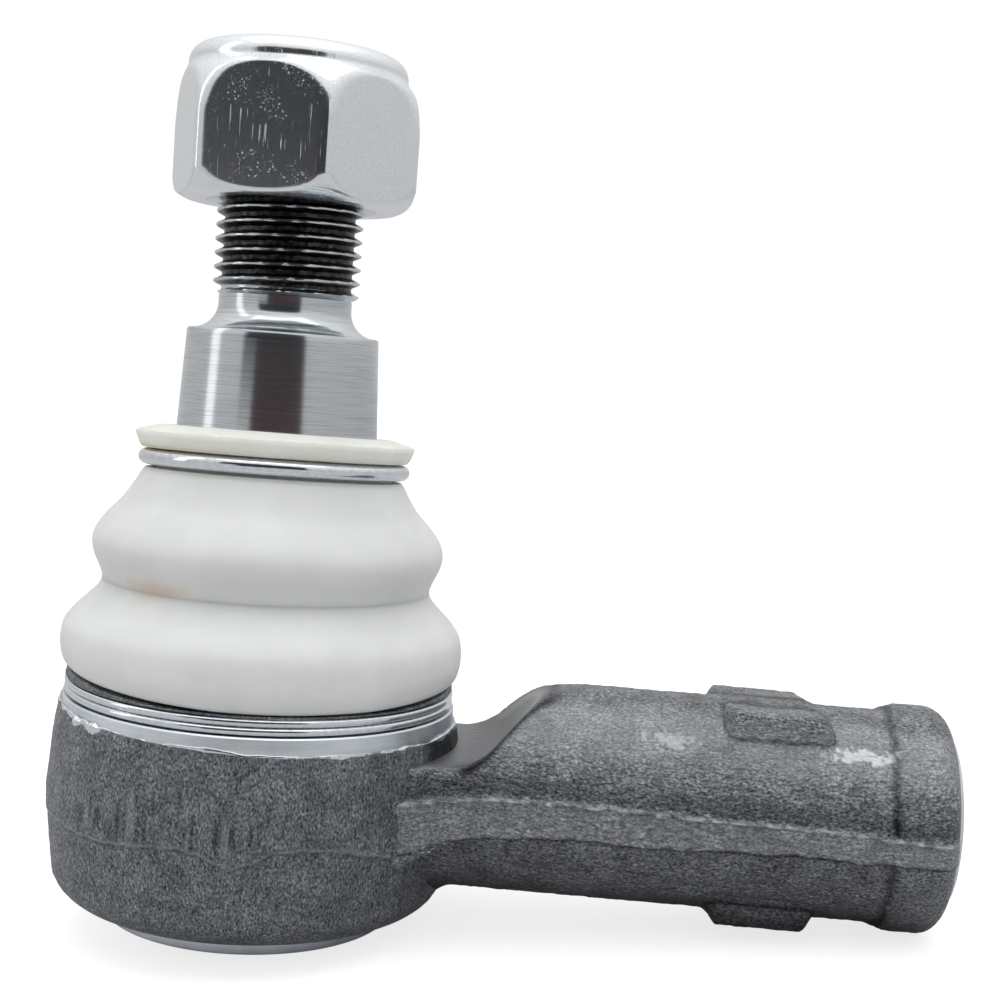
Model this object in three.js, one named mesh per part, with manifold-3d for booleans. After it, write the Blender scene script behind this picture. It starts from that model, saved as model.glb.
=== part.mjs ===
// Tie rod end: a ball stud in a forged housing with a threaded shank.
// Millimetres. +Z runs up the ball stud, +X runs out along the shank.
// The origin is the centre of the closing cover's flat underside.
import * as THREE from 'three';
import { mergeVertices } from 'three/addons/utils/BufferGeometryUtils.js';
import Module from 'manifold-3d';

// ---- driving dimensions -------------------------------------------------------------------
const AXIS_Z = 16.3;                 // height of the shank's axis and of the ball's centre
const BALL_R = 12.4;                 // ball radius
const BALL_FLAT_Z = 5.5;             // flat ground on the bottom of the ball
const BALL_PLAY = 0.15;              // between ball and seats
const SEAT_R = 14.0;                 // outside of the plastic seats
const BORE_R = 14.2;                 // bore of the housing round the seats
const THROAT_R = 11.4;               // the bore's mouth, smaller than the ball
const NECK_R = 7.2;                  // stud between the ball and the taper
const NECK_FILLET = 2.0;             // ball to neck
const TAPER_END_R = 10.37;           // small end of the 1:10 taper
const TAPER_END_Z = 63.9;
const TAPER_START_Z = 44.0;
const TAPER_SLOPE = 0.05;            // radius gained per millimetre of length, a 1:10 taper
const SHOULDER_FILLET = 2.8;         // concave, from the taper's end face to the thread neck
const THREAD_R = 7.92;               // stud thread M16 x 1.5, over its crests
const THREAD_NECK_R = 7.2;
const THREAD_START_Z = 68.6;
const STUD_TOP_Z = 92.0;

const HEAD_TOP_Z = 26.3;             // top of the rim that stands above the clamp ring
const RIM_R = 21.1;
const GROOVE_R = 20.0;               // groove for the lower clamp ring
const GROOVE_Z = [24.0, 25.95];
const FOOT_RECESS_R = 18.8;          // recess that takes the foot of the boot
const FOOT_RECESS_Z = 25.4;
const COVER_LIP_R = 12.4;            // rim rolled in under the closing cover
const COVER_RECESS_R = 15.2;
const COVER_RECESS_Z = [1.3, 3.6];
const COVER_R = 14.9;

const SHANK_R = 11.45;
const COLLAR_R = 12.25;
const SHANK_END_X = 75.8;
const PAD_X = 55.6;                  // two gripping pads, above and below
const PAD_SIZE = [11.6, 15.6];
const PAD_RISE = 11.6;               // pad face, from the shank's axis
const FLASH_Z = [AXIS_Z - 2.4, AXIS_Z + 1.6]; // the trimmed flash band
const FLASH_PROUD = 0.3;
const SOCKET_R = 7.2;                // minor radius of the M16 x 1.5 thread in the shank
const SOCKET_MOUTH_R = 8.2;
const SOCKET_DEPTH = 38.0;

const NUT_Z = [77.6, 93.8];
const NUT_FLATS = 24.0;
const NUT_CORNER_R = 13.55;          // corners taken down by the chamfers
const NUT_CROWN_R = 11.75;           // round crown that holds the nylon ring
const NUT_BORE_R = 8.25;
const NUT_TURN = THREE.MathUtils.degToRad(-5.5);

const ROUND = 48;                    // sides of a full turn
const HIDDEN = 36;                   // the same for pieces inside the head
const GAP = 0.3;                     // between pieces that touch

// ---- helpers ------------------------------------------------------------------------------
const point = (r, z) => new THREE.Vector2(r, z);
const points = (pairs) => pairs.map(([r, z]) => point(r, z));

/** Points of an arc about (cr, cz), from one angle to another, in degrees. */
function arc(cr, cz, radius, from, to, steps) {
  return Array.from({ length: steps + 1 }, (_, i) => {
    const a = THREE.MathUtils.degToRad(from + ((to - from) * i) / steps);
    return point(cr + radius * Math.cos(a), cz + radius * Math.sin(a));
  });
}

/** A solid turned about Z. An outline off the axis closes on itself, outside first. */
function turned(outline, sides = ROUND) {
  const onAxis = outline[0].x === 0;
  const closed = onAxis ? outline : [...outline, outline[0].clone()];
  return new THREE.LatheGeometry(closed, sides).rotateX(Math.PI / 2);
}

/** A solid turned about the shank's axis, from an outline of (radius, distance along X). */
function turnedOnShank(outline, sides = ROUND) {
  return new THREE.LatheGeometry(outline, sides).rotateZ(-Math.PI / 2).translate(0, 0, AXIS_Z);
}

const wasm = await Module();
wasm.setup();

/** A boolean solid from a closed geometry, without the slivers at a turned shape's poles. */
function solid(geometry) {
  const bare = geometry.clone();
  bare.deleteAttribute('normal');
  bare.deleteAttribute('uv');
  const merged = mergeVertices(bare, 1e-5);
  const corners = merged.index.array;
  const kept = [];
  for (let i = 0; i < corners.length; i += 3) {
    const [a, b, c] = corners.slice(i, i + 3);
    if (a !== b && b !== c && c !== a) kept.push(a, b, c);
  }
  return new wasm.Manifold(new wasm.Mesh({
    numProp: 3,
    vertProperties: new Float32Array(merged.attributes.position.array),
    triVerts: new Uint32Array(kept),
  }));
}

/** The geometry of a boolean solid. */
function geometryOf(manifold) {
  const mesh = manifold.getMesh();
  const geometry = new THREE.BufferGeometry();
  geometry.setAttribute('position', new THREE.BufferAttribute(mesh.vertProperties, 3));
  geometry.setIndex(new THREE.BufferAttribute(mesh.triVerts, 1));
  geometry.computeVertexNormals();
  return geometry;
}

const steel = (color, roughness) => new THREE.MeshStandardMaterial({ color, roughness, metalness: 1 });
const plastic = (color, roughness) => new THREE.MeshStandardMaterial({ color, roughness, metalness: 0 });

const FORGED = steel(0x63676a, 0.6);
const SPRING_STEEL = steel(0xb9bec2, 0.25);
const PRESSED = steel(0x7c8084, 0.45);
const GROUND_STEEL = steel(0xa9aeb2, 0.25);
const ZINC = steel(0xb4b9bc, 0.35);
const POLYURETHANE = plastic(0xdfe1e0, 0.4);
const IVORY = plastic(0xe9eae4, 0.45);
const ACETAL = plastic(0xe8e6dc, 0.4);
const NYLON = plastic(0x3f6fa8, 0.45);

// ---- housing ------------------------------------------------------------------------------
/** The round head before it is bored: forged wall, turned band, ring groove and rim. */
function headBlank() {
  return turned([
    ...points([[0, 0], [15.7, 0], [16.1, 0.4], [16.1, 2.2]]),
    ...arc(18.2, 5.7, 3.5, -80, 0, 5),
    ...points([[22.15, 10], [22.35, 15.5], [22.2, 19.5], [21.75, 22.3]]),
    ...points([[21.5, 22.4], [21.4, GROOVE_Z[0]], [GROOVE_R, GROOVE_Z[0]], [GROOVE_R, GROOVE_Z[1]]]),
    ...points([[RIM_R, GROOVE_Z[1]], [RIM_R, HEAD_TOP_Z - 0.3], [20.8, HEAD_TOP_Z], [0, HEAD_TOP_Z]]),
  ]);
}

/** What the lathe takes out of the head: cover recess, seat bore, throat and boot recess. */
function headBore() {
  const throat = THREE.MathUtils.radToDeg(Math.acos(THROAT_R / BORE_R));
  return turned([
    ...points([[0, -1], [COVER_LIP_R, -1], [COVER_LIP_R, COVER_RECESS_Z[0]]]),
    ...points([[COVER_RECESS_R, COVER_RECESS_Z[0]], [COVER_RECESS_R, COVER_RECESS_Z[1]]]),
    point(BORE_R, COVER_RECESS_Z[1]),
    ...arc(0, AXIS_Z, BORE_R, 0, throat, 6),
    ...points([[12.6, FOOT_RECESS_Z], [FOOT_RECESS_R, FOOT_RECESS_Z]]),
    ...points([[FOOT_RECESS_R, HEAD_TOP_Z + 1], [0, HEAD_TOP_Z + 1]]),
  ]);
}

/** The shank: a plain round bar that swells into a collar at its rounded end. */
function shankBar() {
  const round = 2.2;
  const chamfer = 0.6;
  const corner = SHANK_END_X - chamfer - round;
  return turnedOnShank([
    ...points([[0, 6], [SHANK_R, 6], [SHANK_R, 66.3], [COLLAR_R - 0.25, 68.2], [COLLAR_R, 69.0]]),
    ...arc(COLLAR_R - round, corner, round, 0, 72, 4),
    ...points([[COLLAR_R - round - chamfer, SHANK_END_X], [0, SHANK_END_X]]),
  ]);
}

/** The band where the flash was trimmed off, about level with the shank's axis. */
function flashBand() {
  const side = SHANK_R + FLASH_PROUD;
  const collar = COLLAR_R + FLASH_PROUD;
  const edge = [[14, side + 3.2], [19.4, side + 1.6], [24, side + 0.2], [27, side], [66.3, side],
    [68.6, collar], [73.8, collar], [75.1, collar - 1.2]];
  const outline = [...edge, ...edge.map(([x, y]) => [x, -y]).reverse()];
  const depth = FLASH_Z[1] - FLASH_Z[0];
  return new THREE.ExtrudeGeometry(new THREE.Shape(points(outline)), { depth, bevelEnabled: false })
    .translate(0, 0, FLASH_Z[0]);
}

/** One gripping pad: a rounded block with soft edges that stands through the shank. */
function gripPads() {
  const bevel = 1.6;
  const corner = 2.0;
  const [length, width] = PAD_SIZE;
  const x = length / 2 - bevel;
  const y = width / 2 - bevel;
  const outline = new THREE.Shape()
    .moveTo(-x + corner, -y).lineTo(x - corner, -y).quadraticCurveTo(x, -y, x, -y + corner)
    .lineTo(x, y - corner).quadraticCurveTo(x, y, x - corner, y)
    .lineTo(-x + corner, y).quadraticCurveTo(-x, y, -x, y - corner)
    .lineTo(-x, -y + corner).quadraticCurveTo(-x, -y, -x + corner, -y);
  const depth = 2 * (PAD_RISE - bevel);
  return new THREE.ExtrudeGeometry(outline, {
    depth, bevelThickness: bevel, bevelSize: bevel, bevelSegments: 3, curveSegments: 3,
  }).translate(PAD_X, 0, AXIS_Z - depth / 2);
}

/** The relief over the neck, cut round the stud's axis so that the boot and its ring are clear. */
function neckRelief() {
  const floor = 20.2;
  const hollow = 4.6;
  return turned([
    ...points([[0, floor], [24.4, floor]]),
    ...arc(24.4, floor + hollow, hollow, -70, -30, 3),
    ...points([[30.4, 25.9], [31.8, 27.2], [33.8, 27.9], [33.8, 30], [0, 30]]),
  ]);
}

/** The threaded socket in the shank, bored to the thread's minor diameter, with a drill point. */
function shankSocket() {
  const bottom = SHANK_END_X - SOCKET_DEPTH;
  const mouth = SOCKET_MOUTH_R - SOCKET_R;
  return turnedOnShank(points([
    [0, bottom - 4], [SOCKET_R, bottom], [SOCKET_R, SHANK_END_X - mouth],
    [SOCKET_MOUTH_R + 0.5, SHANK_END_X + 0.5], [0, SHANK_END_X + 0.5],
  ]), HIDDEN);
}

function housing() {
  const arm = solid(shankBar()).add(solid(flashBand())).add(solid(gripPads())).subtract(solid(neckRelief()));
  const bored = solid(headBlank()).add(arm).subtract(solid(headBore())).subtract(solid(shankSocket()));
  return geometryOf(bored);
}

// ---- pieces inside the head ---------------------------------------------------------------
/** Pressed cover: its edge is held by the rolled rim, its middle is dished down flush with it. */
function closingCover() {
  const [edgeLow, edgeHigh] = [COVER_RECESS_Z[0] + GAP, COVER_RECESS_Z[1] - GAP];
  return turned(points([
    [0, 0], [9.0, 0], [10.5, edgeLow], [COVER_R, edgeLow], [COVER_R, edgeHigh],
    [9.9, edgeHigh], [8.3, 1.8], [0, 1.8],
  ]), HIDDEN);
}

/** Conical spring washer that keeps the lower seat pressed on the ball. */
function preloadSpring() {
  return turned(points([[13.5, 3.6], [13.5, 4.2], [8.0, 4.65], [8.0, 4.05]]), HIDDEN);
}

/** Lower half of the plastic seat, open at the bottom as a grease pocket. */
function lowerSeat() {
  const inner = BALL_R + BALL_PLAY;
  const pocket = THREE.MathUtils.radToDeg(Math.acos(6.6 / inner));
  return turned([
    ...points([[6.6, 4.95], [SEAT_R, 4.95], [SEAT_R, AXIS_Z - 0.15]]),
    ...arc(0, AXIS_Z, inner, -1, -pocket, 6),
  ], HIDDEN);
}

/** Upper half of the plastic seat, round the upper part of the ball. */
function upperSeat() {
  const inner = BALL_R + BALL_PLAY;
  const top = 6.2;
  const innerTop = THREE.MathUtils.radToDeg(Math.asin(top / inner));
  const outerTop = THREE.MathUtils.radToDeg(Math.asin(top / SEAT_R));
  return turned([
    ...arc(0, AXIS_Z, SEAT_R, 1, outerTop, 2),
    ...arc(0, AXIS_Z, inner, innerTop, 1, 3),
  ], HIDDEN);
}

// ---- ball stud ----------------------------------------------------------------------------
function ballStud() {
  const taper = (z) => TAPER_END_R + TAPER_SLOPE * (TAPER_END_Z - z);
  const flat = -THREE.MathUtils.radToDeg(Math.asin((AXIS_Z - BALL_FLAT_Z) / BALL_R));
  const reach = BALL_R + NECK_FILLET;
  const filletR = NECK_R + NECK_FILLET;
  const filletH = Math.sqrt(reach ** 2 - filletR ** 2);
  const meet = THREE.MathUtils.radToDeg(Math.atan2(filletH, filletR));
  return turned([
    point(0, BALL_FLAT_Z),
    ...arc(0, AXIS_Z, BALL_R, flat, meet, 11),
    ...arc(filletR, AXIS_Z + filletH, NECK_FILLET, meet + 180 + 8, 180, 3),
    ...points([[NECK_R, 35.0], [7.9, 37.4], [10.6, 41.4], [11.2, 42.6]]),
    ...points([[taper(TAPER_START_Z), TAPER_START_Z], [taper(54), 54], [TAPER_END_R, TAPER_END_Z - 0.3]]),
    point(TAPER_END_R - 0.3, TAPER_END_Z),
    ...arc(THREAD_NECK_R + SHOULDER_FILLET, TAPER_END_Z + SHOULDER_FILLET, SHOULDER_FILLET, -90, -180, 5),
    ...points([[THREAD_NECK_R, THREAD_START_Z - 0.7], [THREAD_R, THREAD_START_Z]]),
    ...points([[THREAD_R, STUD_TOP_Z - 1.1], [THREAD_R - 1.1, STUD_TOP_Z], [0, STUD_TOP_Z]]),
  ], HIDDEN);
}

// ---- boot and its rings -------------------------------------------------------------------
/** Two-fold boot, from its foot in the rim to its neck under the upper ring. */
function dustBoot() {
  const outside = [[18.5, 25.7], [18.5, 26.6], [20.6, 26.6], [21.35, 27.0], [21.75, 28.0], [21.9, 29.5],
    [21.5, 31.5], [20.7, 32.9], [19.3, 34.3], [18.2, 35.5], [17.85, 36.5], [18.2, 37.7], [18.9, 39.3],
    [19.08, 40.8], [18.6, 42.1], [17.55, 43.6], [16.1, 45.1], [14.75, 47.1], [14.3, 48.1], [14.0, 48.4]];
  const inside = [[13.2, 48.4], [13.2, 47.3], [11.65, 47.3], [11.65, 45.6], [16.0, 42.4], [17.0, 40.8],
    [16.2, 37.7], [15.9, 36.5], [16.4, 35.0], [19.1, 31.9], [19.7, 30.0], [19.3, 28.4], [16.4, 27.0],
    [16.4, 25.7]];
  return turned(points([...outside, ...inside]), HIDDEN);
}

/** The boot's neck: a sleeve behind the upper ring and the flared sealing lip above it. */
function bootLip() {
  return turned(points([
    [12.9, 47.6], [12.9, 50.55], [13.9, 50.6], [14.6, 50.75], [15.2, 52.3], [14.7, 52.5],
    [12.5, 53.1], [11.5, 52.6], [11.5, 47.6],
  ]), HIDDEN);
}

/** Upper clamp ring: one turn of round wire. */
function topClampRing() {
  const wire = 0.85;
  return turned(arc(13.9, 49.55, wire, -90, 225, 7));
}

/** Lower clamp ring: two turns of flattened wire, closed up into one ring. */
function bottomClampRing() {
  const [low, high] = [GROOVE_Z[0] + 0.1, GROOVE_Z[1] - 0.1];
  const middle = (low + high) / 2;
  return turned(points([
    [20.2, low], [21.0, low], [21.2, low + 0.2], [21.2, middle - 0.15], [21.05, middle],
    [21.2, middle + 0.15], [21.2, high - 0.2], [21.0, high], [20.2, high],
  ]));
}

// ---- lock nut -----------------------------------------------------------------------------
/** Hexagon with both ends chamfered, a round crown and a counterbore for the nylon ring. */
function lockNut() {
  const height = NUT_Z[1] - NUT_Z[0];
  const cornerR = NUT_FLATS / Math.sqrt(3);
  const hexagon = new THREE.CylinderGeometry(cornerR, cornerR, height + 2, 6)
    .rotateX(Math.PI / 2)
    .rotateZ(Math.PI / 6 + NUT_TURN)
    .translate(0, 0, (NUT_Z[0] + NUT_Z[1]) / 2);
  const crown = turned([
    ...points([[0, NUT_Z[0]], [11.3, NUT_Z[0]], [12.6, NUT_Z[0] + 0.8], [NUT_CORNER_R, NUT_Z[0] + 2.2]]),
    ...points([[NUT_CORNER_R, NUT_Z[1] - 7.0], [12.8, NUT_Z[1] - 4.8], [NUT_CROWN_R, NUT_Z[1] - 3.2]]),
    ...arc(NUT_CROWN_R - 2.2, NUT_Z[1] - 2.2, 2.2, 5, 90, 4),
    point(0, NUT_Z[1]),
  ]);
  const bore = turned(points([
    [0, NUT_Z[0] - 1], [9.25, NUT_Z[0] - 1], [9.25, NUT_Z[0]], [NUT_BORE_R, NUT_Z[0] + 1.0],
    [NUT_BORE_R, NUT_Z[1] - 4.6], [10.4, NUT_Z[1] - 4.6], [10.4, NUT_Z[1] - 0.9],
    [9.5, NUT_Z[1] - 0.5], [9.5, NUT_Z[1] + 1], [0, NUT_Z[1] + 1],
  ]), HIDDEN);
  return geometryOf(solid(hexagon).intersect(solid(crown)).subtract(solid(bore)));
}

/** Nylon ring that grips the thread and keeps the nut from working loose. */
function nutInsert() {
  return turned(points([
    [10.1, NUT_Z[1] - 4.3], [10.1, NUT_Z[1] - 1.5], [9.6, NUT_Z[1] - 1.1],
    [NUT_BORE_R, NUT_Z[1] - 1.1], [NUT_BORE_R, NUT_Z[1] - 4.3],
  ]), HIDDEN);
}

// ---- assembly -----------------------------------------------------------------------------
const pieces = [
  ['housing', housing(), FORGED],
  ['closing_cover', closingCover(), PRESSED],
  ['preload_spring', preloadSpring(), SPRING_STEEL],
  ['lower_ball_seat', lowerSeat(), ACETAL],
  ['upper_ball_seat', upperSeat(), ACETAL],
  ['ball_stud', ballStud(), GROUND_STEEL],
  ['dust_boot', dustBoot(), POLYURETHANE],
  ['boot_sealing_lip', bootLip(), IVORY],
  ['top_clamp_ring', topClampRing(), SPRING_STEEL],
  ['bottom_clamp_ring', bottomClampRing(), SPRING_STEEL],
  ['lock_nut', lockNut(), ZINC],
  ['nut_insert', nutInsert(), NYLON],
];

const group = new THREE.Group();
for (const [name, geometry, finish] of pieces) {
  const mesh = new THREE.Mesh(geometry, finish.clone());
  mesh.name = name;
  group.add(mesh);
}

export default group;
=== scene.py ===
"""Tie rod end: ball stud, boot, rings and lock nut in a forged housing, dressed for a studio table.

Lengths are in millimetres until a mesh is built. +Z runs up the ball stud, +X out along the shank,
and the origin is the centre of the closing cover's underside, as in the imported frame.
"""

import logging
import math
from collections.abc import Callable, Sequence
from dataclasses import dataclass, field
from enum import Enum
from typing import Any

import bpy
import numpy as np
from mathutils import Matrix, Vector


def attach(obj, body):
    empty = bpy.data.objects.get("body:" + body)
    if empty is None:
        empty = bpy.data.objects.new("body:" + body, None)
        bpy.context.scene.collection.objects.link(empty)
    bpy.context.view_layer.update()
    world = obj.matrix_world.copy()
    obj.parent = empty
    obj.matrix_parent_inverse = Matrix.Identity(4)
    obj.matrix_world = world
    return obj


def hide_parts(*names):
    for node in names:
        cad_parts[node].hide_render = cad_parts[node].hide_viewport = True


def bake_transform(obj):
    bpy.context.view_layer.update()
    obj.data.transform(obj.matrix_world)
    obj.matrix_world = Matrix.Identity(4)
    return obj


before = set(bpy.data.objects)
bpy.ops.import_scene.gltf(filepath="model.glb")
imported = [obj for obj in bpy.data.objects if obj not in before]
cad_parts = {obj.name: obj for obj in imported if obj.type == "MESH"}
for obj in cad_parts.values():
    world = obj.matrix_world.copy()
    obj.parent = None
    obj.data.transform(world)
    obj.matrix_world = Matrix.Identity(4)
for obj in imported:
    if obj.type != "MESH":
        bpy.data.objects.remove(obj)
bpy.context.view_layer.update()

LOG = logging.getLogger("tie_rod_end")
MM = 0.001
Array = np.ndarray
Surface = tuple[Array, Array, Array]

AXIS_Z = 16.3
"""Height of the shank's axis and of the ball's centre."""
THREAD_PITCH = 1.5
"""Pitch of the stud's thread, the nut's and the socket's."""
FOOT_HEIGHTS = (
    (-180.0, 0.5), (-90.0, 0.9), (-60.0, 0.6), (-45.0, 0.3), (-20.0, -0.1), (0.0, -0.35),
    (20.0, -0.4), (45.0, -0.3), (70.0, 0.05), (95.0, 0.35), (180.0, 0.5))
"""Bearing and height of the boot's foot round the head: it sits a little unevenly in the rim."""


class Body(Enum):
    """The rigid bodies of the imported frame."""

    HOUSING = "housing"
    BOOT = "boot"
    BOOT_NECK = "boot_neck"
    STUD = "stud"
    NUT_RING = "nut_ring"
    NUT = "nut"


class Slot(Enum):
    """The record's finishes."""

    FORGED = "forged_steel"
    PRESSED = "pressed_steel"
    SPRING = "spring_steel"
    ACETAL = "acetal"
    GROUND = "ground_steel"
    BOOT = "boot_polyurethane"
    LIP = "lip_polyurethane"
    WIRE = "ring_wire"
    ZINC = "zinc_plated_steel"
    NYLON = "nylon"


# ---- curves and noise ---------------------------------------------------------------------------
def smooth_step(value: Array, low: float, high: float) -> Array:
    """Rises from 0 at low to 1 at high on a cubic that is level at both ends.

    Args:
        value: Where the step is read.
        low: Value that gives 0. It may be the larger of the two, for a falling step.
        high: Value that gives 1.

    Returns:
        3 t^2 - 2 t^3, where t is the share of the way from low to high.
    """
    part = np.clip((value - low) / (high - low), 0.0, 1.0)
    return part * part * (3.0 - 2.0 * part)


def smooth_min(first: Array, second: Array, width: float) -> Array:
    """The smaller of two arrays, rounded over where they differ by less than a width.

    Args:
        first: One array.
        second: The other.
        width: Difference below which the corner is rounded.

    Returns:
        min(a, b) - w/4 (1 - |a - b|/w)^2 within the width, and min(a, b) outside it.
    """
    near = np.clip(1.0 - np.abs(first - second) / width, 0.0, 1.0)
    return np.minimum(first, second) - 0.25 * width * near * near


def smooth_max(first: Array, second: Array, width: float) -> Array:
    """The larger of two arrays, filleted where they differ by less than a width."""
    return -smooth_min(-first, -second, width)


def lattice_noise(at: Array, cell: float, seed: int) -> Array:
    """Smooth noise: random values at the corners of a cubic lattice, blended inside each cell.

    Args:
        at: Points, with x, y and z along the last axis.
        cell: Edge of a lattice cell, in the points' unit.
        seed: Picks one noise among many.

    Returns:
        Values between -1 and 1, each the sum over a cell's eight corners of the corner's value
        times the product of cubic weights along x, y and z.
    """
    scaled = np.asarray(at, dtype=float) / cell
    base = np.floor(scaled).astype(np.int64)
    part = scaled - base
    part = part * part * (3.0 - 2.0 * part)
    total = np.zeros(scaled.shape[:-1])
    for corner in np.ndindex(2, 2, 2):
        node = base + np.array(corner)
        mixed = node @ np.array([374761393, 668265263, 2147483647]) + seed * 1274126177
        mixed = mixed & 0xFFFFFFFF
        mixed = ((mixed ^ (mixed >> 13)) * 1274126177) & 0xFFFFFFFF
        value = (mixed ^ (mixed >> 16)) / 0x7FFFFFFF - 1.0
        total += value * np.prod(np.where(corner, part, 1.0 - part), axis=-1)
    return total


def layered_noise(at: Array, cell: float, layers: int, seed: int) -> Array:
    """Lattice noise in layers, each with half the cell and half the height of the one before.

    Args:
        at: Points, with x, y and z along the last axis.
        cell: Cell of the coarsest layer.
        layers: How many layers are added up.
        seed: Seed of the coarsest layer.

    Returns:
        The sum of the layers.
    """
    return sum(lattice_noise(at, cell / 2**k, seed + k) / 2**k for k in range(layers))


def arc(centre: tuple[float, float], radius: float, start: float, end: float, steps: int) -> Array:
    """Points on a circle's arc: the centre plus the radius times (cos a, sin a).

    Args:
        centre: Centre in the outline's plane.
        radius: Radius of the circle.
        start: First angle, in degrees.
        end: Last angle, in degrees.
        steps: Number of chords.

    Returns:
        An array of steps + 1 points.
    """
    angle = np.radians(np.linspace(start, end, steps + 1))
    return np.column_stack([centre[0] + radius * np.cos(angle), centre[1] + radius * np.sin(angle)])


def finer(outline: Array, step: float) -> Array:
    """Puts evenly spaced points on each straight stretch of an outline, and keeps its corners.

    Args:
        outline: Corner points.
        step: Longest distance between two neighbours.

    Returns:
        The outline with the points added.
    """
    stretches = []
    for start, end in zip(outline[:-1], outline[1:]):
        count = max(1, math.ceil(np.linalg.norm(end - start) / step))
        stretches.append(start + (end - start) * np.arange(count)[:, None] / count)
    return np.vstack([*stretches, outline[-1:]])


def flowing(knots: Sequence[tuple[float, float]], steps: int) -> Array:
    """A smooth curve through knots: each span is the cubic that leaves and arrives along the chord
    between a knot's two neighbours, a Catmull-Rom spline.

    Args:
        knots: Points that the curve passes through.
        steps: Chords in each span.

    Returns:
        Points on the curve.
    """
    given = np.array(knots, dtype=float)
    padded = np.vstack([2 * given[0] - given[1], given, 2 * given[-1] - given[-2]])
    before, start, end, after = padded[:-3], padded[1:-2], padded[2:-1], padded[3:]
    t = (np.arange(steps) / steps)[:, None, None]
    curve = 0.5 * (
        2 * start
        + (end - before) * t
        + (2 * before - 5 * start + 4 * end - after) * t**2
        + (3 * start - before - 3 * end + after) * t**3
    )
    return np.vstack([curve.transpose(1, 0, 2).reshape(-1, 2), given[-1:]])


# ---- surfaces -----------------------------------------------------------------------------------
def closed_surface(grid: Array, ring: bool) -> Surface:
    """Faces over a grid of points whose columns run once round and close on themselves.

    Args:
        grid: Points in rows and columns.
        ring: True if the last row joins the first; otherwise each end row is closed by a fan, or
            by a pole where the whole row is one point.

    Returns:
        Points, four-sided faces and three-sided faces.
    """
    poles = []
    if not ring:
        poles = [grid[0].mean(axis=0), grid[-1].mean(axis=0)]
        first = 1 if np.ptp(grid[0], axis=0).max() < 1e-6 else 0
        last = len(grid) - (1 if np.ptp(grid[-1], axis=0).max() < 1e-6 else 0)
        grid = grid[first:last]
    rows, columns = grid.shape[:2]
    index = np.arange(rows * columns).reshape(rows, columns)
    near, far = (index, np.roll(index, -1, axis=0)) if ring else (index[:-1], index[1:])
    beside = (np.roll(near, -1, axis=1), np.roll(far, -1, axis=1))
    quads = np.stack([near, beside[0], beside[1], far], axis=-1).reshape(-1, 4)
    triangles = np.zeros((0, 3), dtype=np.int64)
    if poles:
        head, tail = np.full(columns, rows * columns), np.full(columns, rows * columns + 1)
        triangles = np.vstack([
            np.column_stack([head, np.roll(index[0], -1), index[0]]),
            np.column_stack([tail, index[-1], np.roll(index[-1], -1)]),
        ])
    return np.vstack([grid.reshape(-1, 3), *poles]), quads, triangles


def facing_out(surface: Surface) -> Surface:
    """Turns every face of a closed surface round if its signed volume is below zero.

    Args:
        surface: Points, four-sided faces and three-sided faces.

    Returns:
        The same surface with its faces pointing out.
    """
    points, quads, triangles = surface
    halves = np.vstack([quads[:, [0, 1, 2]], quads[:, [0, 2, 3]], triangles])
    first, second, third = (points[halves[:, k]] for k in range(3))
    if np.einsum("ij,ij->", first, np.cross(second, third)) < 0:
        return points, quads[:, ::-1], triangles[:, ::-1]
    return surface


def turned(outline: Array, columns: int, ring: bool = True) -> Array:
    """A grid turned about Z: each (r, z) of the outline goes round at radius r and height z.

    Args:
        outline: Radius and height of each row.
        columns: Points in a full turn.
        ring: True drops the last row, because the outline comes back to its first point.

    Returns:
        Points in rows and columns.
    """
    angle = np.arange(columns) * 2 * math.pi / columns
    rows = outline[:-1] if ring else outline
    radius, height = rows[:, :1], rows[:, 1:]
    return np.stack(
        [radius * np.cos(angle), radius * np.sin(angle), height + np.zeros(columns)], axis=-1
    )


def outward(at: Array) -> Array:
    """Level unit vectors that point away from Z: (x, y, 0) over its length."""
    out = at * np.array([1.0, 1.0, 0.0])
    return out / np.linalg.norm(out, axis=-1, keepdims=True)


def turned_on_shank(outline: Array, columns: int, ring: bool = True) -> Array:
    """A grid turned about the shank's axis, from an outline of radius and distance along X."""
    lying = turned(outline, columns, ring)
    return np.stack([lying[..., 2], lying[..., 0], lying[..., 1] + AXIS_Z], axis=-1)


def swept_wire(path: Array, section: Array) -> Array:
    """A grid that carries a flat section along a path round Z: at each path point the section's
    first axis points away from Z and its second points up.

    Args:
        path: Points of the wire's centre line.
        section: Offsets (out, up) of the section's outline, for all rows or for each row.

    Returns:
        Points in rows and columns.
    """
    section = np.broadcast_to(section, (len(path), *section.shape[-2:]))
    up = np.array([0.0, 0.0, 1.0])
    return path[:, None] + section[..., :1] * outward(path)[:, None] + section[..., 1:] * up


def thread_depth(height: Array, angle: Array, crest: float = 0.14, root: float = 0.3) -> Array:
    """How deep a right-hand thread is cut: a wave that climbs one pitch in a turn, flat over its
    crests and roots and straight along its flanks.

    Args:
        height: Distance along the thread's axis.
        angle: Angle round it, in radians.
        crest: Share of the pitch that is flat crest.
        root: Share that is root.

    Returns:
        0 on the crests to 1 in the roots.
    """
    phase = np.abs(((height / THREAD_PITCH - angle / (2 * math.pi)) % 1.0) * 2.0 - 1.0)
    return np.clip((phase - crest) / (1.0 - crest - root), 0.0, 1.0)


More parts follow.
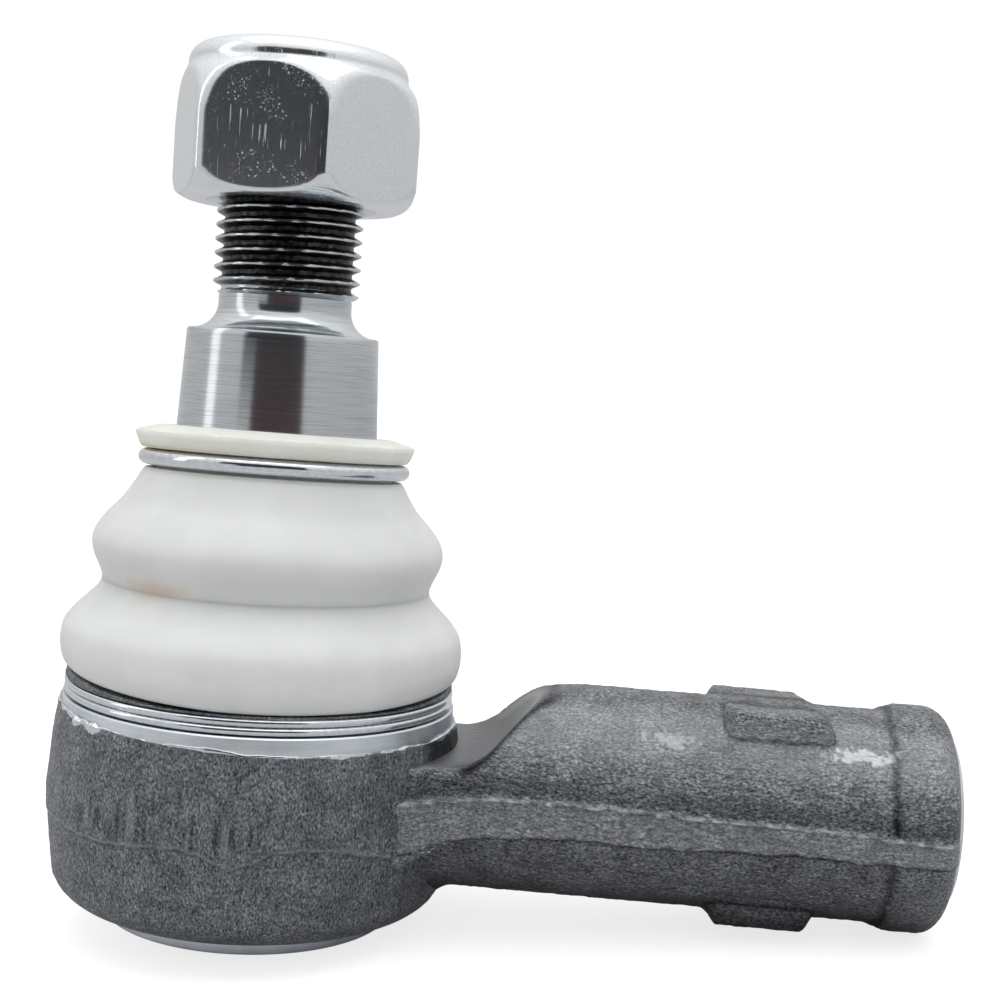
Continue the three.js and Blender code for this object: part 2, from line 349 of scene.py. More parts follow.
def make_piece(
    name: str,
    surfaces: Sequence[Surface],
    material: bpy.types.Material,
    masks: dict[str, Callable[[Array], Array]] | None = None,
    crease: float = 32.0,
) -> bpy.types.Object:
    """Puts closed surfaces into one mesh object, at the origin, with its faces pointing out.

    Args:
        name: The piece's name.
        surfaces: Closed surfaces in millimetres.
        material: The piece's finish.
        masks: Attributes that the finish reads, each worked out from the points.
        crease: Edges that turn by more than this many degrees are shaded sharp.

    Returns:
        The object.
    """
    points, loops, starts, count = [], [], [], 0
    for at, quads, triangles in map(facing_out, surfaces):
        offset = sum(map(len, points))
        for faces in (quads, triangles):
            starts.append(count + np.arange(len(faces)) * faces.shape[1])
            loops.append((faces + offset).ravel())
            count += faces.size
        points.append(at)
    at = np.vstack(points)
    corner, start = np.concatenate(loops), np.concatenate(starts)
    mesh = bpy.data.meshes.new(name)
    mesh.vertices.add(len(at))
    mesh.vertices.foreach_set("co", (at * MM).ravel())
    mesh.loops.add(len(corner))
    mesh.loops.foreach_set("vertex_index", corner.astype(np.int32))
    mesh.polygons.add(len(start))
    mesh.polygons.foreach_set("loop_start", start.astype(np.int32))
    for mask, worked_out in (masks or {}).items():
        layer = mesh.attributes.new(mask, "FLOAT", "POINT")
        layer.data.foreach_set("value", worked_out(at).astype(np.float32))
    mesh.update(calc_edges=True)
    mesh.validate()
    mesh.shade_smooth()
    mesh.set_sharp_from_angle(angle=math.radians(crease))
    mesh.materials.append(material)
    piece = bpy.data.objects.new(name, mesh)
    bpy.context.scene.collection.objects.link(piece)
    return piece


def fit(piece: bpy.types.Object, body: Body, slot: Slot, *nodes: str) -> None:
    """Lets a piece ride on a body in place of CAD nodes.

    Args:
        piece: The piece.
        body: Body that carries it.
        slot: Finish that the record gives it; not used.
        *nodes: CAD nodes whose place it takes.
    """
    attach(piece, body.value)
    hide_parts(*nodes)


def bearing(at: Array) -> Array:
    """Degrees round the stud: 0 at -Y, 90 at the shank's side, +X."""
    return np.degrees(np.arctan2(at[..., 0], -at[..., 1]))


def round_line(at: Array, line: Sequence[tuple[float, float]]) -> Array:
    """Straight stretches between heights that are given at some bearings round the stud."""
    return np.interp(bearing(at), *np.array(line).T)


def foot_line(at: Array) -> Array:
    """How far the boot's foot, and the rim under it, stand above their mean height round the head."""
    return round_line(at, FOOT_HEIGHTS)


# ---- finishes -----------------------------------------------------------------------------------
def linear(code: str) -> tuple[float, float, float, float]:
    """Linear colour of an sRGB hex code: c/12.92 below 0.04045, else ((c + 0.055)/1.055)^2.4."""
    parts = (int(code[k : k + 2], 16) / 255 for k in (1, 3, 5))
    return (*(c / 12.92 if c <= 0.04045 else ((c + 0.055) / 1.055) ** 2.4 for c in parts), 1.0)


def per_metre(size: float) -> float:
    """Scale of a pattern on metre coordinates whose cells are to be this many millimetres."""
    return 1.0 / (size * MM)


def add_node(
    tree: bpy.types.NodeTree,
    kind: str,
    inputs: dict[str | int, Any] | None = None,
    stops: Sequence[tuple[float, str]] = (),
    **settings: Any,
) -> bpy.types.Node:
    """Adds a node.

    Args:
        tree: The tree it goes into.
        kind: Its type, after "ShaderNode".
        inputs: What each input gets: a socket is linked, anything else is set as its value.
        stops: Places and hex colours along a colour ramp.
        **settings: Properties of the node.

    Returns:
        The node.
    """
    node = tree.nodes.new("ShaderNode" + kind)
    for key, value in settings.items():
        setattr(node, key, value)
    for key, value in (inputs or {}).items():
        if isinstance(value, bpy.types.NodeSocket):
            tree.links.new(value, node.inputs[key])
        else:
            node.inputs[key].default_value = value
    for k, (place, code) in enumerate(stops):
        ramp = node.color_ramp.elements
        stop = ramp[k] if k < len(ramp) else ramp.new(place)
        stop.position = place
        stop.color = linear(code)
    return node


@dataclass(frozen=True)
class Finish:
    """What every finish has: a name and the values that are the same all over the surface."""

    name: str
    metallic: float = 1.0
    uniform: tuple[tuple[str, Any], ...] = ()

    def start(self) -> tuple[bpy.types.Material, bpy.types.NodeTree, bpy.types.NodeSocket]:
        """Makes the material and sets its uniform values.

        Returns:
            The material, its tree and the places on the piece where patterns are read.
        """
        material = bpy.data.materials.new(self.name)
        material.use_nodes = True
        tree = material.node_tree
        shader = tree.nodes["Principled BSDF"]
        shader.inputs["Metallic"].default_value = self.metallic
        for socket, value in self.uniform:
            shader.inputs[socket].default_value = value
        return material, tree, add_node(tree, "TexCoord").outputs["Object"]

    def connect(
        self,
        material: bpy.types.Material,
        colour: bpy.types.NodeSocket,
        rough: bpy.types.NodeSocket,
        normal: bpy.types.NodeSocket,
    ) -> bpy.types.Material:
        """Links what varies over the surface to the material's shader.

        Args:
            material: The material that start() made.
            colour: Base colour.
            rough: Roughness.
            normal: Normal, turned by the relief.

        Returns:
            The material.
        """
        tree = material.node_tree
        shader = tree.nodes["Principled BSDF"]
        for socket, source in (("Base Color", colour), ("Roughness", rough), ("Normal", normal)):
            tree.links.new(source, shader.inputs[socket])
        return material


@dataclass(frozen=True)
class ShotBlastedSteel(Finish):
    """Forged steel, trimmed and shot-blasted: a dark grey skin of small dents, each with its own
    glint, brighter where edges were worn and where highlights are painted, near-black where shade is
    painted in hollows, creases and underneath (partly dark stains over the arm's band), and smooth
    where the forging was dressed."""

    grain: float = 0.25
    dent: float = 0.05
    stretch: tuple[float, float, float] = (1.0, 1.0, 0.6)
    shades: tuple[str, ...] = ("#474a4d", "#727579", "#9c9fa2", "#d2d4d6")
    pit: str = "#1c1d1f"

    def make(self) -> bpy.types.Material:
        """Builds the material.

        Returns:
            The material.
        """
        material, tree, place = self.start()
        drawn = add_node(tree, "Mapping", {"Vector": place, "Scale": self.stretch}).outputs[0]
        grains = add_node(tree, "TexNoise", {
            "Vector": drawn, "Scale": per_metre(self.grain), "Detail": 4.0, "Roughness": 0.68,
        }).outputs["Fac"]
        lumps = add_node(tree, "TexNoise", {
            "Vector": drawn, "Scale": per_metre(self.grain * 3.2), "Detail": 2.0, "Roughness": 0.5,
        }).outputs["Fac"]
        patches = add_node(tree, "TexNoise", {
            "Vector": place, "Scale": per_metre(self.grain * 14), "Detail": 4.0, "Roughness": 0.6,
        }).outputs["Fac"]
        speckle = add_node(tree, "ValToRGB", {"Fac": grains}, stops=[
            *zip((0.3, 0.36, 0.46, 0.58, 0.7), (self.pit, *self.shades)),
        ]).outputs["Color"]
        tone = add_node(tree, "ValToRGB", {"Fac": patches}, stops=[
            (0.3, "#c4c4c6"), (0.7, "#ffffff"),
        ]).outputs["Color"]
        skin = add_node(tree, "Mix", {0: 1.0, 6: speckle, 7: tone}, data_type="RGBA",
                        blend_type="MULTIPLY").outputs[2]
        # Masks read here: the dressed scoop, bright worn metal with painted highlights, and painted shade
        # (partly dark stains over the arm's band).
        dressed, wear_and_painted_highlight, painted_shade_and_grime = (
            add_node(tree, "Attribute", attribute_name=mask).outputs["Fac"]
            for mask in ("dressed", "wear_and_painted_highlight", "painted_shade_and_grime"))
        plain = add_node(tree, "Mix", {0: dressed, 6: skin, 7: linear("#77797c")},
                         data_type="RGBA").outputs[2]
        # Bright worn metal, plus painted highlights along the arm's shoulder and a ridge in the scoop.
        bright = add_node(tree, "Mix", {0: wear_and_painted_highlight, 6: plain, 7: linear("#d6d9db")},
                          data_type="RGBA").outputs[2]
        # Painted shade: near-black mixed in where hollows, creases and undersides would fall into shade.
        colour = add_node(tree, "Mix", {0: painted_shade_and_grime, 6: bright, 7: linear("#161719")},
                          data_type="RGBA").outputs[2]
        rough = add_node(tree, "MapRange", {"Value": grains, 1: 0.3, 2: 0.7, 3: 0.52, 4: 0.34}).outputs[0]
        glossed = add_node(tree, "Mix", {0: dressed, 2: rough, 3: 0.4}, data_type="FLOAT").outputs[0]
        strength = add_node(tree, "Math", {0: dressed, 1: -0.75, 2: 1.0}, operation="MULTIPLY_ADD")
        height = add_node(tree, "Math", {0: lumps, 1: 2.2, 2: grains}, operation="MULTIPLY_ADD")
        dents = add_node(tree, "Bump", {
            "Height": height.outputs[0], "Strength": strength.outputs[0], "Distance": self.dent * MM,
        }).outputs["Normal"]
        return self.connect(material, colour, glossed, dents)


@dataclass(frozen=True)
class TurnedSteel(Finish):
    """Bright steel off the lathe: fine lines round the axis that blur reflections along it."""

    colour: str = "#dee4e8"
    shade: str = "#cdd4d9"
    roughness: tuple[float, float] = (0.34, 0.44)
    line: float = 0.12
    depth: float = 0.003
    along: int = 2

    def make(self) -> bpy.types.Material:
        """Builds the material. The lines are noise stretched fifty times across the axis.

        Returns:
            The material.
        """
        material, tree, place = self.start()
        stretch = [0.02, 0.02, 0.02]
        stretch[self.along] = 1.0
        across = add_node(tree, "Mapping", {"Vector": place, "Scale": stretch}).outputs[0]
        lines = add_node(tree, "TexNoise", {
            "Vector": across, "Scale": per_metre(self.line), "Detail": 3.0, "Roughness": 0.7,
        }).outputs["Fac"]
        cloud = add_node(tree, "TexNoise", {
            "Vector": place, "Scale": per_metre(2.5), "Detail": 3.0,
        }).outputs["Fac"]
        blend = add_node(tree, "Math", {0: lines, 1: cloud}, operation="MULTIPLY").outputs[0]
        colour = add_node(tree, "ValToRGB", {"Fac": blend}, stops=[
            (0.15, self.shade), (0.36, self.colour),
        ]).outputs["Color"]
        rough = add_node(tree, "MapRange", {
            "Value": cloud, 1: 0.3, 2: 0.7, 3: self.roughness[0], 4: self.roughness[1],
        }).outputs[0]
        cuts = add_node(tree, "Bump", {
            "Height": lines, "Strength": 0.6, "Distance": self.depth * MM,
        }).outputs["Normal"]
        return self.connect(material, colour, rough, cuts)


@dataclass(frozen=True)
class GroundStudSteel(Finish):
    """Case-hardened steel, ground on the taper and rolled in the thread: mirror-like with very fine
    lines round the stud, and painted shade on the flanks and roots under bright thread crests."""

    colour: str = "#cbd0d3"
    # Colour of the painted shade on the thread's flanks and roots.
    flank: str = "#25262a"

    def make(self) -> bpy.types.Material:
        """Builds the material. The thread's depth paints shade on its flanks and roots and roughens them.

        Returns:
            The material.
        """
        material, tree, place = self.start()
        across = add_node(tree, "Mapping", {"Vector": place, "Scale": [0.02, 0.02, 1.0]}).outputs[0]
        lines = add_node(tree, "TexNoise", {
            "Vector": across, "Scale": per_metre(0.16), "Detail": 4.0, "Roughness": 0.75,
        }).outputs["Fac"]
        spots = add_node(tree, "TexNoise", {
            "Vector": place, "Scale": per_metre(0.5), "Detail": 4.0,
        }).outputs["Fac"]
        depth = add_node(tree, "Attribute", attribute_name="thread_depth").outputs["Fac"]
        painted_flank_shade = add_node(tree, "MapRange", {"Value": depth, 1: 0.0, 2: 0.3, 3: 0.0, 4: 1.0}).outputs[0]
        steel = add_node(tree, "ValToRGB", {"Fac": lines}, stops=[
            (0.25, "#a3a8ac"), (0.55, self.colour),
        ]).outputs["Color"]
        # Painted shade on the thread's flanks and roots, a little mottled.
        flank_shade_colour = add_node(tree, "ValToRGB", {"Fac": spots}, stops=[
            (0.4, self.flank), (0.75, "#5d5a56"),
        ]).outputs["Color"]
        colour = add_node(tree, "Mix", {0: painted_flank_shade, 6: steel, 7: flank_shade_colour}, data_type="RGBA").outputs[2]
        rough = add_node(tree, "MapRange", {"Value": painted_flank_shade, 1: 0.0, 2: 1.0, 3: 0.16, 4: 0.34}).outputs[0]
        cuts = add_node(tree, "Bump", {
            "Height": lines, "Strength": 0.5, "Distance": 0.004 * MM,
        }).outputs["Normal"]
        return self.connect(material, colour, rough, cuts)


@dataclass(frozen=True)
class ZincPlate(Finish):
    """Bright zinc plate over a drawn hexagon: silvery, with upright drawing scratches and fine
    speckle that catch light on a face that is otherwise dark."""

    colour: str = "#e6eaed"

    def make(self) -> bpy.types.Material:
        """Builds the material. The scratches are noise stretched forty times along the nut, shown
        where a cloud is thick; the speckle shows where it is thin.

        Returns:
            The material.
        """
        material, tree, place = self.start()
        along = add_node(tree, "Mapping", {"Vector": place, "Scale": [1.0, 1.0, 0.025]}).outputs[0]
        scratches = add_node(tree, "TexNoise", {
            "Vector": along, "Scale": per_metre(0.22), "Detail": 3.0, "Roughness": 0.6,
        }).outputs["Fac"]
        speckle = add_node(tree, "TexNoise", {
            "Vector": place, "Scale": per_metre(0.24), "Detail": 3.0, "Roughness": 0.7,
        }).outputs["Fac"]
        cloud = add_node(tree, "TexNoise", {
            "Vector": place, "Scale": per_metre(3.5), "Detail": 3.0,
        }).outputs["Fac"]
        cut = add_node(tree, "MapRange", {"Value": scratches, 1: 0.61, 2: 0.7, 3: 0.0, 4: 1.0}).outputs[0]
        thick = add_node(tree, "MapRange", {"Value": cloud, 1: 0.5, 2: 0.6, 3: 0.0, 4: 1.0}).outputs[0]
        marks = add_node(tree, "Math", {0: cut, 1: thick}, operation="MULTIPLY").outputs[0]
        dots = add_node(tree, "MapRange", {"Value": speckle, 1: 0.6, 2: 0.72, 3: 0.0, 4: 0.7}).outputs[0]
        thin = add_node(tree, "MapRange", {"Value": cloud, 1: 0.5, 2: 0.4, 3: 0.0, 4: 1.0}).outputs[0]
        height = add_node(tree, "Math", {0: dots, 1: thin, 2: marks}, operation="MULTIPLY_ADD").outputs[0]
        colour = add_node(tree, "ValToRGB", {"Fac": speckle}, stops=[
            (0.3, "#d8dcdf"), (0.6, self.colour),
        ]).outputs["Color"]
        rough = add_node(tree, "MapRange", {"Value": height, 1: 0.0, 2: 1.0, 3: 0.16, 4: 0.45}).outputs[0]
        pits = add_node(tree, "Bump", {
            "Height": height, "Strength": 0.7, "Distance": 0.02 * MM,
        }).outputs["Normal"]
        return self.connect(material, colour, rough, pits)


@dataclass(frozen=True)
class SmoothMetal(Finish):
    """Drawn wire or pressed sheet: smooth steel with faint drawing marks and cloudy polish."""

    colour: str = "#dde1e5"
    shade: str = "#c9ced2"
    roughness: tuple[float, float] = (0.08, 0.16)
    mark: float = 0.5
    depth: float = 0.0012

    def make(self) -> bpy.types.Material:
        """Builds the material.

        Returns:
            The material.
        """
        material, tree, place = self.start()
        marks = add_node(tree, "TexNoise", {
            "Vector": place, "Scale": per_metre(self.mark), "Detail": 4.0, "Roughness": 0.65,
        }).outputs["Fac"]
        colour = add_node(tree, "ValToRGB", {"Fac": marks}, stops=[
            (0.3, self.shade), (0.6, self.colour),
        ]).outputs["Color"]
        rough = add_node(tree, "MapRange", {
            "Value": marks, 1: 0.3, 2: 0.7, 3: self.roughness[0], 4: self.roughness[1],
        }).outputs[0]
        relief = add_node(tree, "Bump", {
            "Height": marks, "Strength": 0.4, "Distance": self.depth * MM,
        }).outputs["Normal"]
        return self.connect(material, colour, rough, relief)


@dataclass(frozen=True)
class MouldedPlastic(Finish):
    """Moulded plastic or rubber: even colour with slight clouding, a satin skin and light that
    soaks a little way in. A tint attribute, where a piece has one, mixes in the tint colour: a brown
    mark on the boot, and a yellowish painted shade under the lip's brim."""

    colour: str = "#dcdedc"
    shade: str = "#d6d8d6"
    tint_patch: str = "#c9a577"
    roughness: tuple[float, float] = (0.36, 0.44)
    skin: float = 0.35

    def make(self) -> bpy.types.Material:
        """Builds the material.

        Returns:
            The material.
        """
        material, tree, place = self.start()
        cloud = add_node(tree, "TexNoise", {
            "Vector": place, "Scale": per_metre(6.0), "Detail": 3.0,
        }).outputs["Fac"]
        pores = add_node(tree, "TexNoise", {
            "Vector": place, "Scale": per_metre(self.skin), "Detail": 3.0, "Roughness": 0.6,
        }).outputs["Fac"]
        body = add_node(tree, "ValToRGB", {"Fac": cloud}, stops=[
            (0.35, self.shade), (0.62, self.colour),
        ]).outputs["Color"]
        tinted = add_node(tree, "Attribute", attribute_name="tint_patch").outputs["Fac"]
        colour = add_node(tree, "Mix", {0: tinted, 6: body, 7: linear(self.tint_patch)},
                          data_type="RGBA").outputs[2]
        rough = add_node(tree, "MapRange", {
            "Value": pores, 1: 0.3, 2: 0.7, 3: self.roughness[0], 4: self.roughness[1],
        }).outputs[0]
        relief = add_node(tree, "Bump", {
            "Height": pores, "Strength": 0.25, "Distance": 0.006 * MM,
        }).outputs["Normal"]
        return self.connect(material, colour, rough, relief)


SOAKED = (("Subsurface Weight", 0.6), ("Subsurface Scale", 0.002), ("Subsurface Radius", (1.0, 0.95, 0.9)),
          ("IOR", 1.5))
"""Light goes a few millimetres into pale polyurethane before it comes out."""


@dataclass(frozen=True)
class Finishes:
    """All finishes of the part, each made once."""

    head_skin: bpy.types.Material = field(default_factory=lambda: ShotBlastedSteel(
        "shot_blasted_forging_head", metallic=0.85, grain=0.2, dent=0.12).make())
    arm_skin: bpy.types.Material = field(default_factory=lambda: ShotBlastedSteel(
        "shot_blasted_forging_arm", metallic=0.9, grain=0.22, dent=0.2, stretch=(0.6, 1.0, 1.0),
        shades=("#4d4f52", "#797c7f", "#a1a4a6", "#dcdedf")).make())
    turned_band: bpy.types.Material = field(default_factory=lambda: TurnedSteel("turned_steel_band").make())
    socket: bpy.types.Material = field(default_factory=lambda: TurnedSteel(
        "turned_steel_socket", along=0).make())
    stud: bpy.types.Material = field(default_factory=lambda: GroundStudSteel("ground_stud_steel").make())
    zinc: bpy.types.Material = field(default_factory=lambda: ZincPlate("bright_zinc_plate").make())
    wire: bpy.types.Material = field(default_factory=lambda: SmoothMetal("drawn_spring_wire").make())
    spring: bpy.types.Material = field(default_factory=lambda: SmoothMetal(
        "blued_spring_steel", colour="#8d9095", shade="#5d6168", roughness=(0.25, 0.35)).make())
    cover: bpy.types.Material = field(default_factory=lambda: SmoothMetal(
        "pressed_cover_steel", colour="#85898d", shade="#6a6e72", roughness=(0.32, 0.45), mark=0.8).make())
    boot: bpy.types.Material = field(default_factory=lambda: MouldedPlastic(
        "moulded_white_polyurethane", metallic=0.0, uniform=SOAKED).make())
    # The lip's tint colour is a yellowish painted shade under its brim.
    lip: bpy.types.Material = field(default_factory=lambda: MouldedPlastic(
        "moulded_ivory_polyurethane", metallic=0.0, uniform=SOAKED,
        colour="#e9eae4", shade="#e0e0d6", tint_patch="#cfc08f", roughness=(0.4, 0.5)).make())
    acetal: bpy.types.Material = field(default_factory=lambda: MouldedPlastic(
        "moulded_acetal", metallic=0.0, colour="#e8e6dc", shade="#dcd9cd").make())
    nylon: bpy.types.Material = field(default_factory=lambda: MouldedPlastic(
        "moulded_blue_nylon", metallic=0.0, colour="#3f6fa8", shade="#376296").make())


# ---- housing ------------------------------------------------------------------------------------
@dataclass(frozen=True)
class Housing:
    """The housing: a forged head and arm, the surfaces that the lathe cut, and the screwed socket.

    Lines round the head are (bearing, height), bands along the arm (x, height over its axis), the
    pads (middle, half length, half width) and worn spots (middle, half length, strength).
    """

    columns: int = 560
    wall: tuple[tuple[float, float], ...] = (
        (21.7, 5.7), (22.05, 8.5), (22.25, 12.0), (22.35, 15.5), (22.2, 19.5), (21.75, 22.3))
    corner: float = 3.5
    inner_wall: float = 17.0
    rim: float = 16.1
    shear_line: tuple[tuple[float, float], ...] = (
        (-180.0, 11.8), (-150.0, 12.7), (-118.0, 11.3), (-95.0, 12.4), (-60.0, 11.5), (-25.0, 11.8),
        (-15.0, 12.5), (-7.0, 12.7), (-2.0, 12.2), (6.0, 10.9), (9.0, 11.4), (17.0, 12.85),
        (33.0, 12.9), (41.0, 11.9), (54.0, 11.1), (75.0, 11.1), (105.0, 11.4), (140.0, 12.6), (180.0, 11.8))
    top_line: tuple[tuple[float, float], ...] = (
        (-180.0, 22.4), (-61.0, 23.0), (-41.0, 22.9), (-9.0, 22.5), (17.0, 22.1), (68.0, 22.0), (180.0, 22.4))
    rim_top: float = 26.3
    shank: float = 11.45
    collar: float = 12.25
    shank_end: float = 75.8
    end_round: float = 2.6
    end_chamfer: float = 0.5
    pad: tuple[float, float, float] = (55.7, 5.6, 7.75)
    pad_rise: float = 11.5
    neck_top: float = 20.2
    neck_hollow: tuple[float, float, float] = (24.4, 24.8, 4.6)
    band_low: tuple[tuple[float, float], ...] = (
        (14.0, -5.4), (20.0, -4.6), (23.0, -3.4), (27.5, -3.0), (37.0, -2.4), (43.0, -2.7),
        (58.0, -2.05), (65.0, -2.3), (75.0, -1.9))
    band_high: tuple[tuple[float, float], ...] = (
        (14.0, 0.2), (20.0, 0.5), (24.0, 1.0), (30.0, 1.3), (39.0, 1.3), (46.0, 1.0), (58.0, 0.9),
        (67.0, 0.6))
    worn_spots: tuple[tuple[float, float, float], ...] = ((44.9, 2.6, 0.4), (65.2, 3.4, 1.0))
    flash_proud: float = 0.3
    socket: float = 7.2
    socket_major: float = 8.0
    socket_sleeve: float = 8.7
    socket_depth: float = 38.0

    def sheared(self, at: Array) -> Array:
        """Height above the ragged line where the trimming die stopped."""
        return at[..., 2] - round_line(at, self.shear_line) - 0.22 * layered_noise(at, 1.6, 2, 11)

    def lifted(self, at: Array) -> Array:
        """How far the forging's upper edge lies above its mean height, round the head."""
        return round_line(at, self.top_line) - self.wall[-1][1]

    def drag(self, above: Array, at: Array) -> Array:
        """Upright scores that the die dragged down the wall, in patches over the shear line.

        Args:
            above: Height over the shear line.
            at: Points.

        Returns:
            Noise twelve times longer up the wall than round it, densest at the front on the left
            and faded out 9 mm over the line.
        """
        scores = lattice_noise(at * np.array([1.0, 1.0, 0.08]), 0.38, 31)
        front = 1.3 * np.exp(-(((bearing(at) + 18.0) / 24.0) ** 2))
        patch = smooth_step(lattice_noise(at, 8.0, 32) + front, 0.1, 0.7)
        return scores * patch * smooth_step(above, 0.0, 0.4) * smooth_step(above, 9.0, 3.0)

    def head(self, finish: bpy.types.Material) -> bpy.types.Object:
        """The forged head. A ring outline goes round Z, and its outer wall is moved out or in by
        the shear step, the drag scores and three sizes of noise.

        Args:
            finish: The forging's skin.

        Returns:
            The piece.
        """
        foot = self.wall[0][0] - self.corner
        start = math.degrees(math.acos((self.rim - 0.25 - foot) / self.corner))
        outside = finer(np.vstack([
            arc((foot, self.wall[0][1]), self.corner, -start, 0, 14),
            flowing(self.wall, 3)[1:],
        ]), 0.24)
        top, low = outside[-1, 1], outside[0, 1]
        hidden = np.array([
            [self.inner_wall, top], [self.inner_wall, 12.0], [self.inner_wall, 5.0],
            [self.rim - 0.6, low + 0.4], outside[0]])
        grid = turned(np.vstack([outside, hidden]), self.columns)
        skin = np.zeros(len(grid))
        skin[: len(outside)] = smooth_step(outside[:, 1], low, low + 0.5) * smooth_step(
            outside[:, 1], top + 0.05, top - 0.6)
        above = self.sheared(grid)
        step = 0.26 * smooth_step(above, -0.12, 0.12) * smooth_step(above, 6.0, 0.3)
        rise = step + 0.08 * self.drag(above, grid)
        rise += 0.10 * layered_noise(grid, 7.0, 2, 1) + 0.045 * layered_noise(grid, 1.5, 2, 2)
        rise += 0.022 * lattice_noise(grid, 0.55, 3)
        grid = grid + outward(grid) * (rise * skin[:, None])[..., None]
        grid[..., 2] += self.lifted(grid) * smooth_step(grid[..., 2], 17.0, 22.3)
        # Masks for bright trimmed metal and for painted shade.
        masks = {"wear_and_painted_highlight": self.head_rubbed, "painted_shade_and_grime": self.head_painted_shade}
        return make_piece("housing_forged_head", [closed_surface(grid, True)], finish, masks, 60.0)

    def head_rubbed(self, at: Array) -> Array:
        """Mask of bright metal on the head: a bell curve on the shear line, and the drag's ridges.

        Args:
            at: Points.

        Returns:
            0 to about a half.
        """
        above = self.sheared(at)
        line = 0.34 * np.exp(-((above - 0.08) / 0.15) ** 2)
        line *= smooth_step(at[:, 2], 9.0, 10.0) * smooth_step(at[:, 2], 15.0, 14.0)
        return line + 0.16 * smooth_step(self.drag(above, at), 0.15, 0.6)

    def head_painted_shade(self, at: Array) -> Array:
        """Mask of painted shade on the head: in the drag's scores, at the foot of the shear step, and a
        painted shadow on the wall over the neck.

        Args:
            at: Points.

        Returns:
            0 to about 1.
        """
        above, turn = self.sheared(at), bearing(at)
        # Painted shade in the drag's scores and at the foot of the shear step.
        scores = 0.55 * smooth_step(-self.drag(above, at), 0.25, 0.55)
        foot = 0.3 * np.exp(-((above + 0.25) / 0.16) ** 2) * smooth_step(at[:, 2], 15.0, 14.0)
        # Painted shadow on the head's wall over the neck, between bearings 60 and 116 degrees.
        painted_wall_shade = 0.85 * smooth_step(turn, 60.0, 68.0) * smooth_step(turn, 116.0, 108.0)
        return scores + foot + painted_wall_shade * smooth_step(at[:, 2], 17.5, 19.5)

    def relief_height(self, radius: Array) -> Array:
        """Height of the dressed scoop over the neck: level, then an arc's hollow, then a ramp that
        rounds over onto the shank.

        Args:
            radius: Distance from the stud's axis.

        Returns:
            Height over the origin.
        """
        *hollow, bend = self.neck_hollow
        run = finer(np.vstack([
            [[0.0, self.neck_top]], arc(tuple(hollow), bend, -90, -32, 10),
            flowing([(28.3, 22.36), (30.1, 25.4), (31.6, 27.0), (33.8, 27.95)], 5)[1:],
            [[40.0, 30.0]],
        ]), 0.6)
        return np.interp(radius, run[:, 0], run[:, 1])

    def scoop(self, x: Array, angle: Array) -> Array:
        """Distance from the shank's axis to the scoop along each ray, found where a march of
        forty steps first comes out above the scoop's surface.

        Args:
            x: Distance along the shank of each ray.
            angle: Its angle round the shank's axis from +Y, in radians.

        Returns:
            The distance, or a large one where the ray never comes out.
        """
        reach = np.linspace(2.0, 20.0, 40)
        y = reach * np.cos(angle)[..., None]
        z = AXIS_Z + reach * np.sin(angle)[..., None]
        over = z - self.relief_height(np.hypot(x[..., None], y))
        out = over > 0
        first = np.where(out.any(axis=-1), out.argmax(axis=-1), len(reach) - 1)
        first = np.maximum(first, 1)
        after = np.take_along_axis(over, first[..., None], -1)[..., 0]
        before = np.take_along_axis(over, first[..., None] - 1, -1)[..., 0]
        share = np.clip(-before / np.where(after == before, 1.0, after - before), 0.0, 1.0)
        crossing = reach[first - 1] + share * (reach[1] - reach[0])
        return np.where(out.any(axis=-1), crossing, 50.0)

    def band_edges(self, x: Array) -> tuple[Array, Array]:
        """Lower and upper edge of the trimmed flash band along the shank, from its axis."""
        return tuple(np.interp(x, *np.array(edge).T) for edge in (self.band_low, self.band_high))

    def on_band(self, at: Array) -> tuple[Array, Array]:
        """Distances from the band's ragged edges: height less the edge, plus noise.

        Args:
            at: Points.

        Returns:
            How far each point is above the lower edge, and how far below the upper one.
        """
        low, high = self.band_edges(at[..., 0])
        height = at[..., 2] - AXIS_Z
        ragged = 0.16 * layered_noise(at, 1.3, 3, 51)
        return height - low + ragged, high - height + ragged

    def pad_step(self, x: Array, y: Array, rise: Array) -> Array:
        """Where the gripping pads are along the arm. Each lies a little askew.

        Args:
            x: Distance along the shank.
            y: Distance to the side.
            rise: Above zero on the upper pad, below it on the lower.

        Returns:
            1 along a pad, falling over the draft of its ends to 0.
        """
        middle, half, _ = self.pad
        askew = y * np.where(rise > 0, 0.12, 0.03)
        return smooth_step(np.abs(x - middle + askew), half + 0.5, half - 1.2)

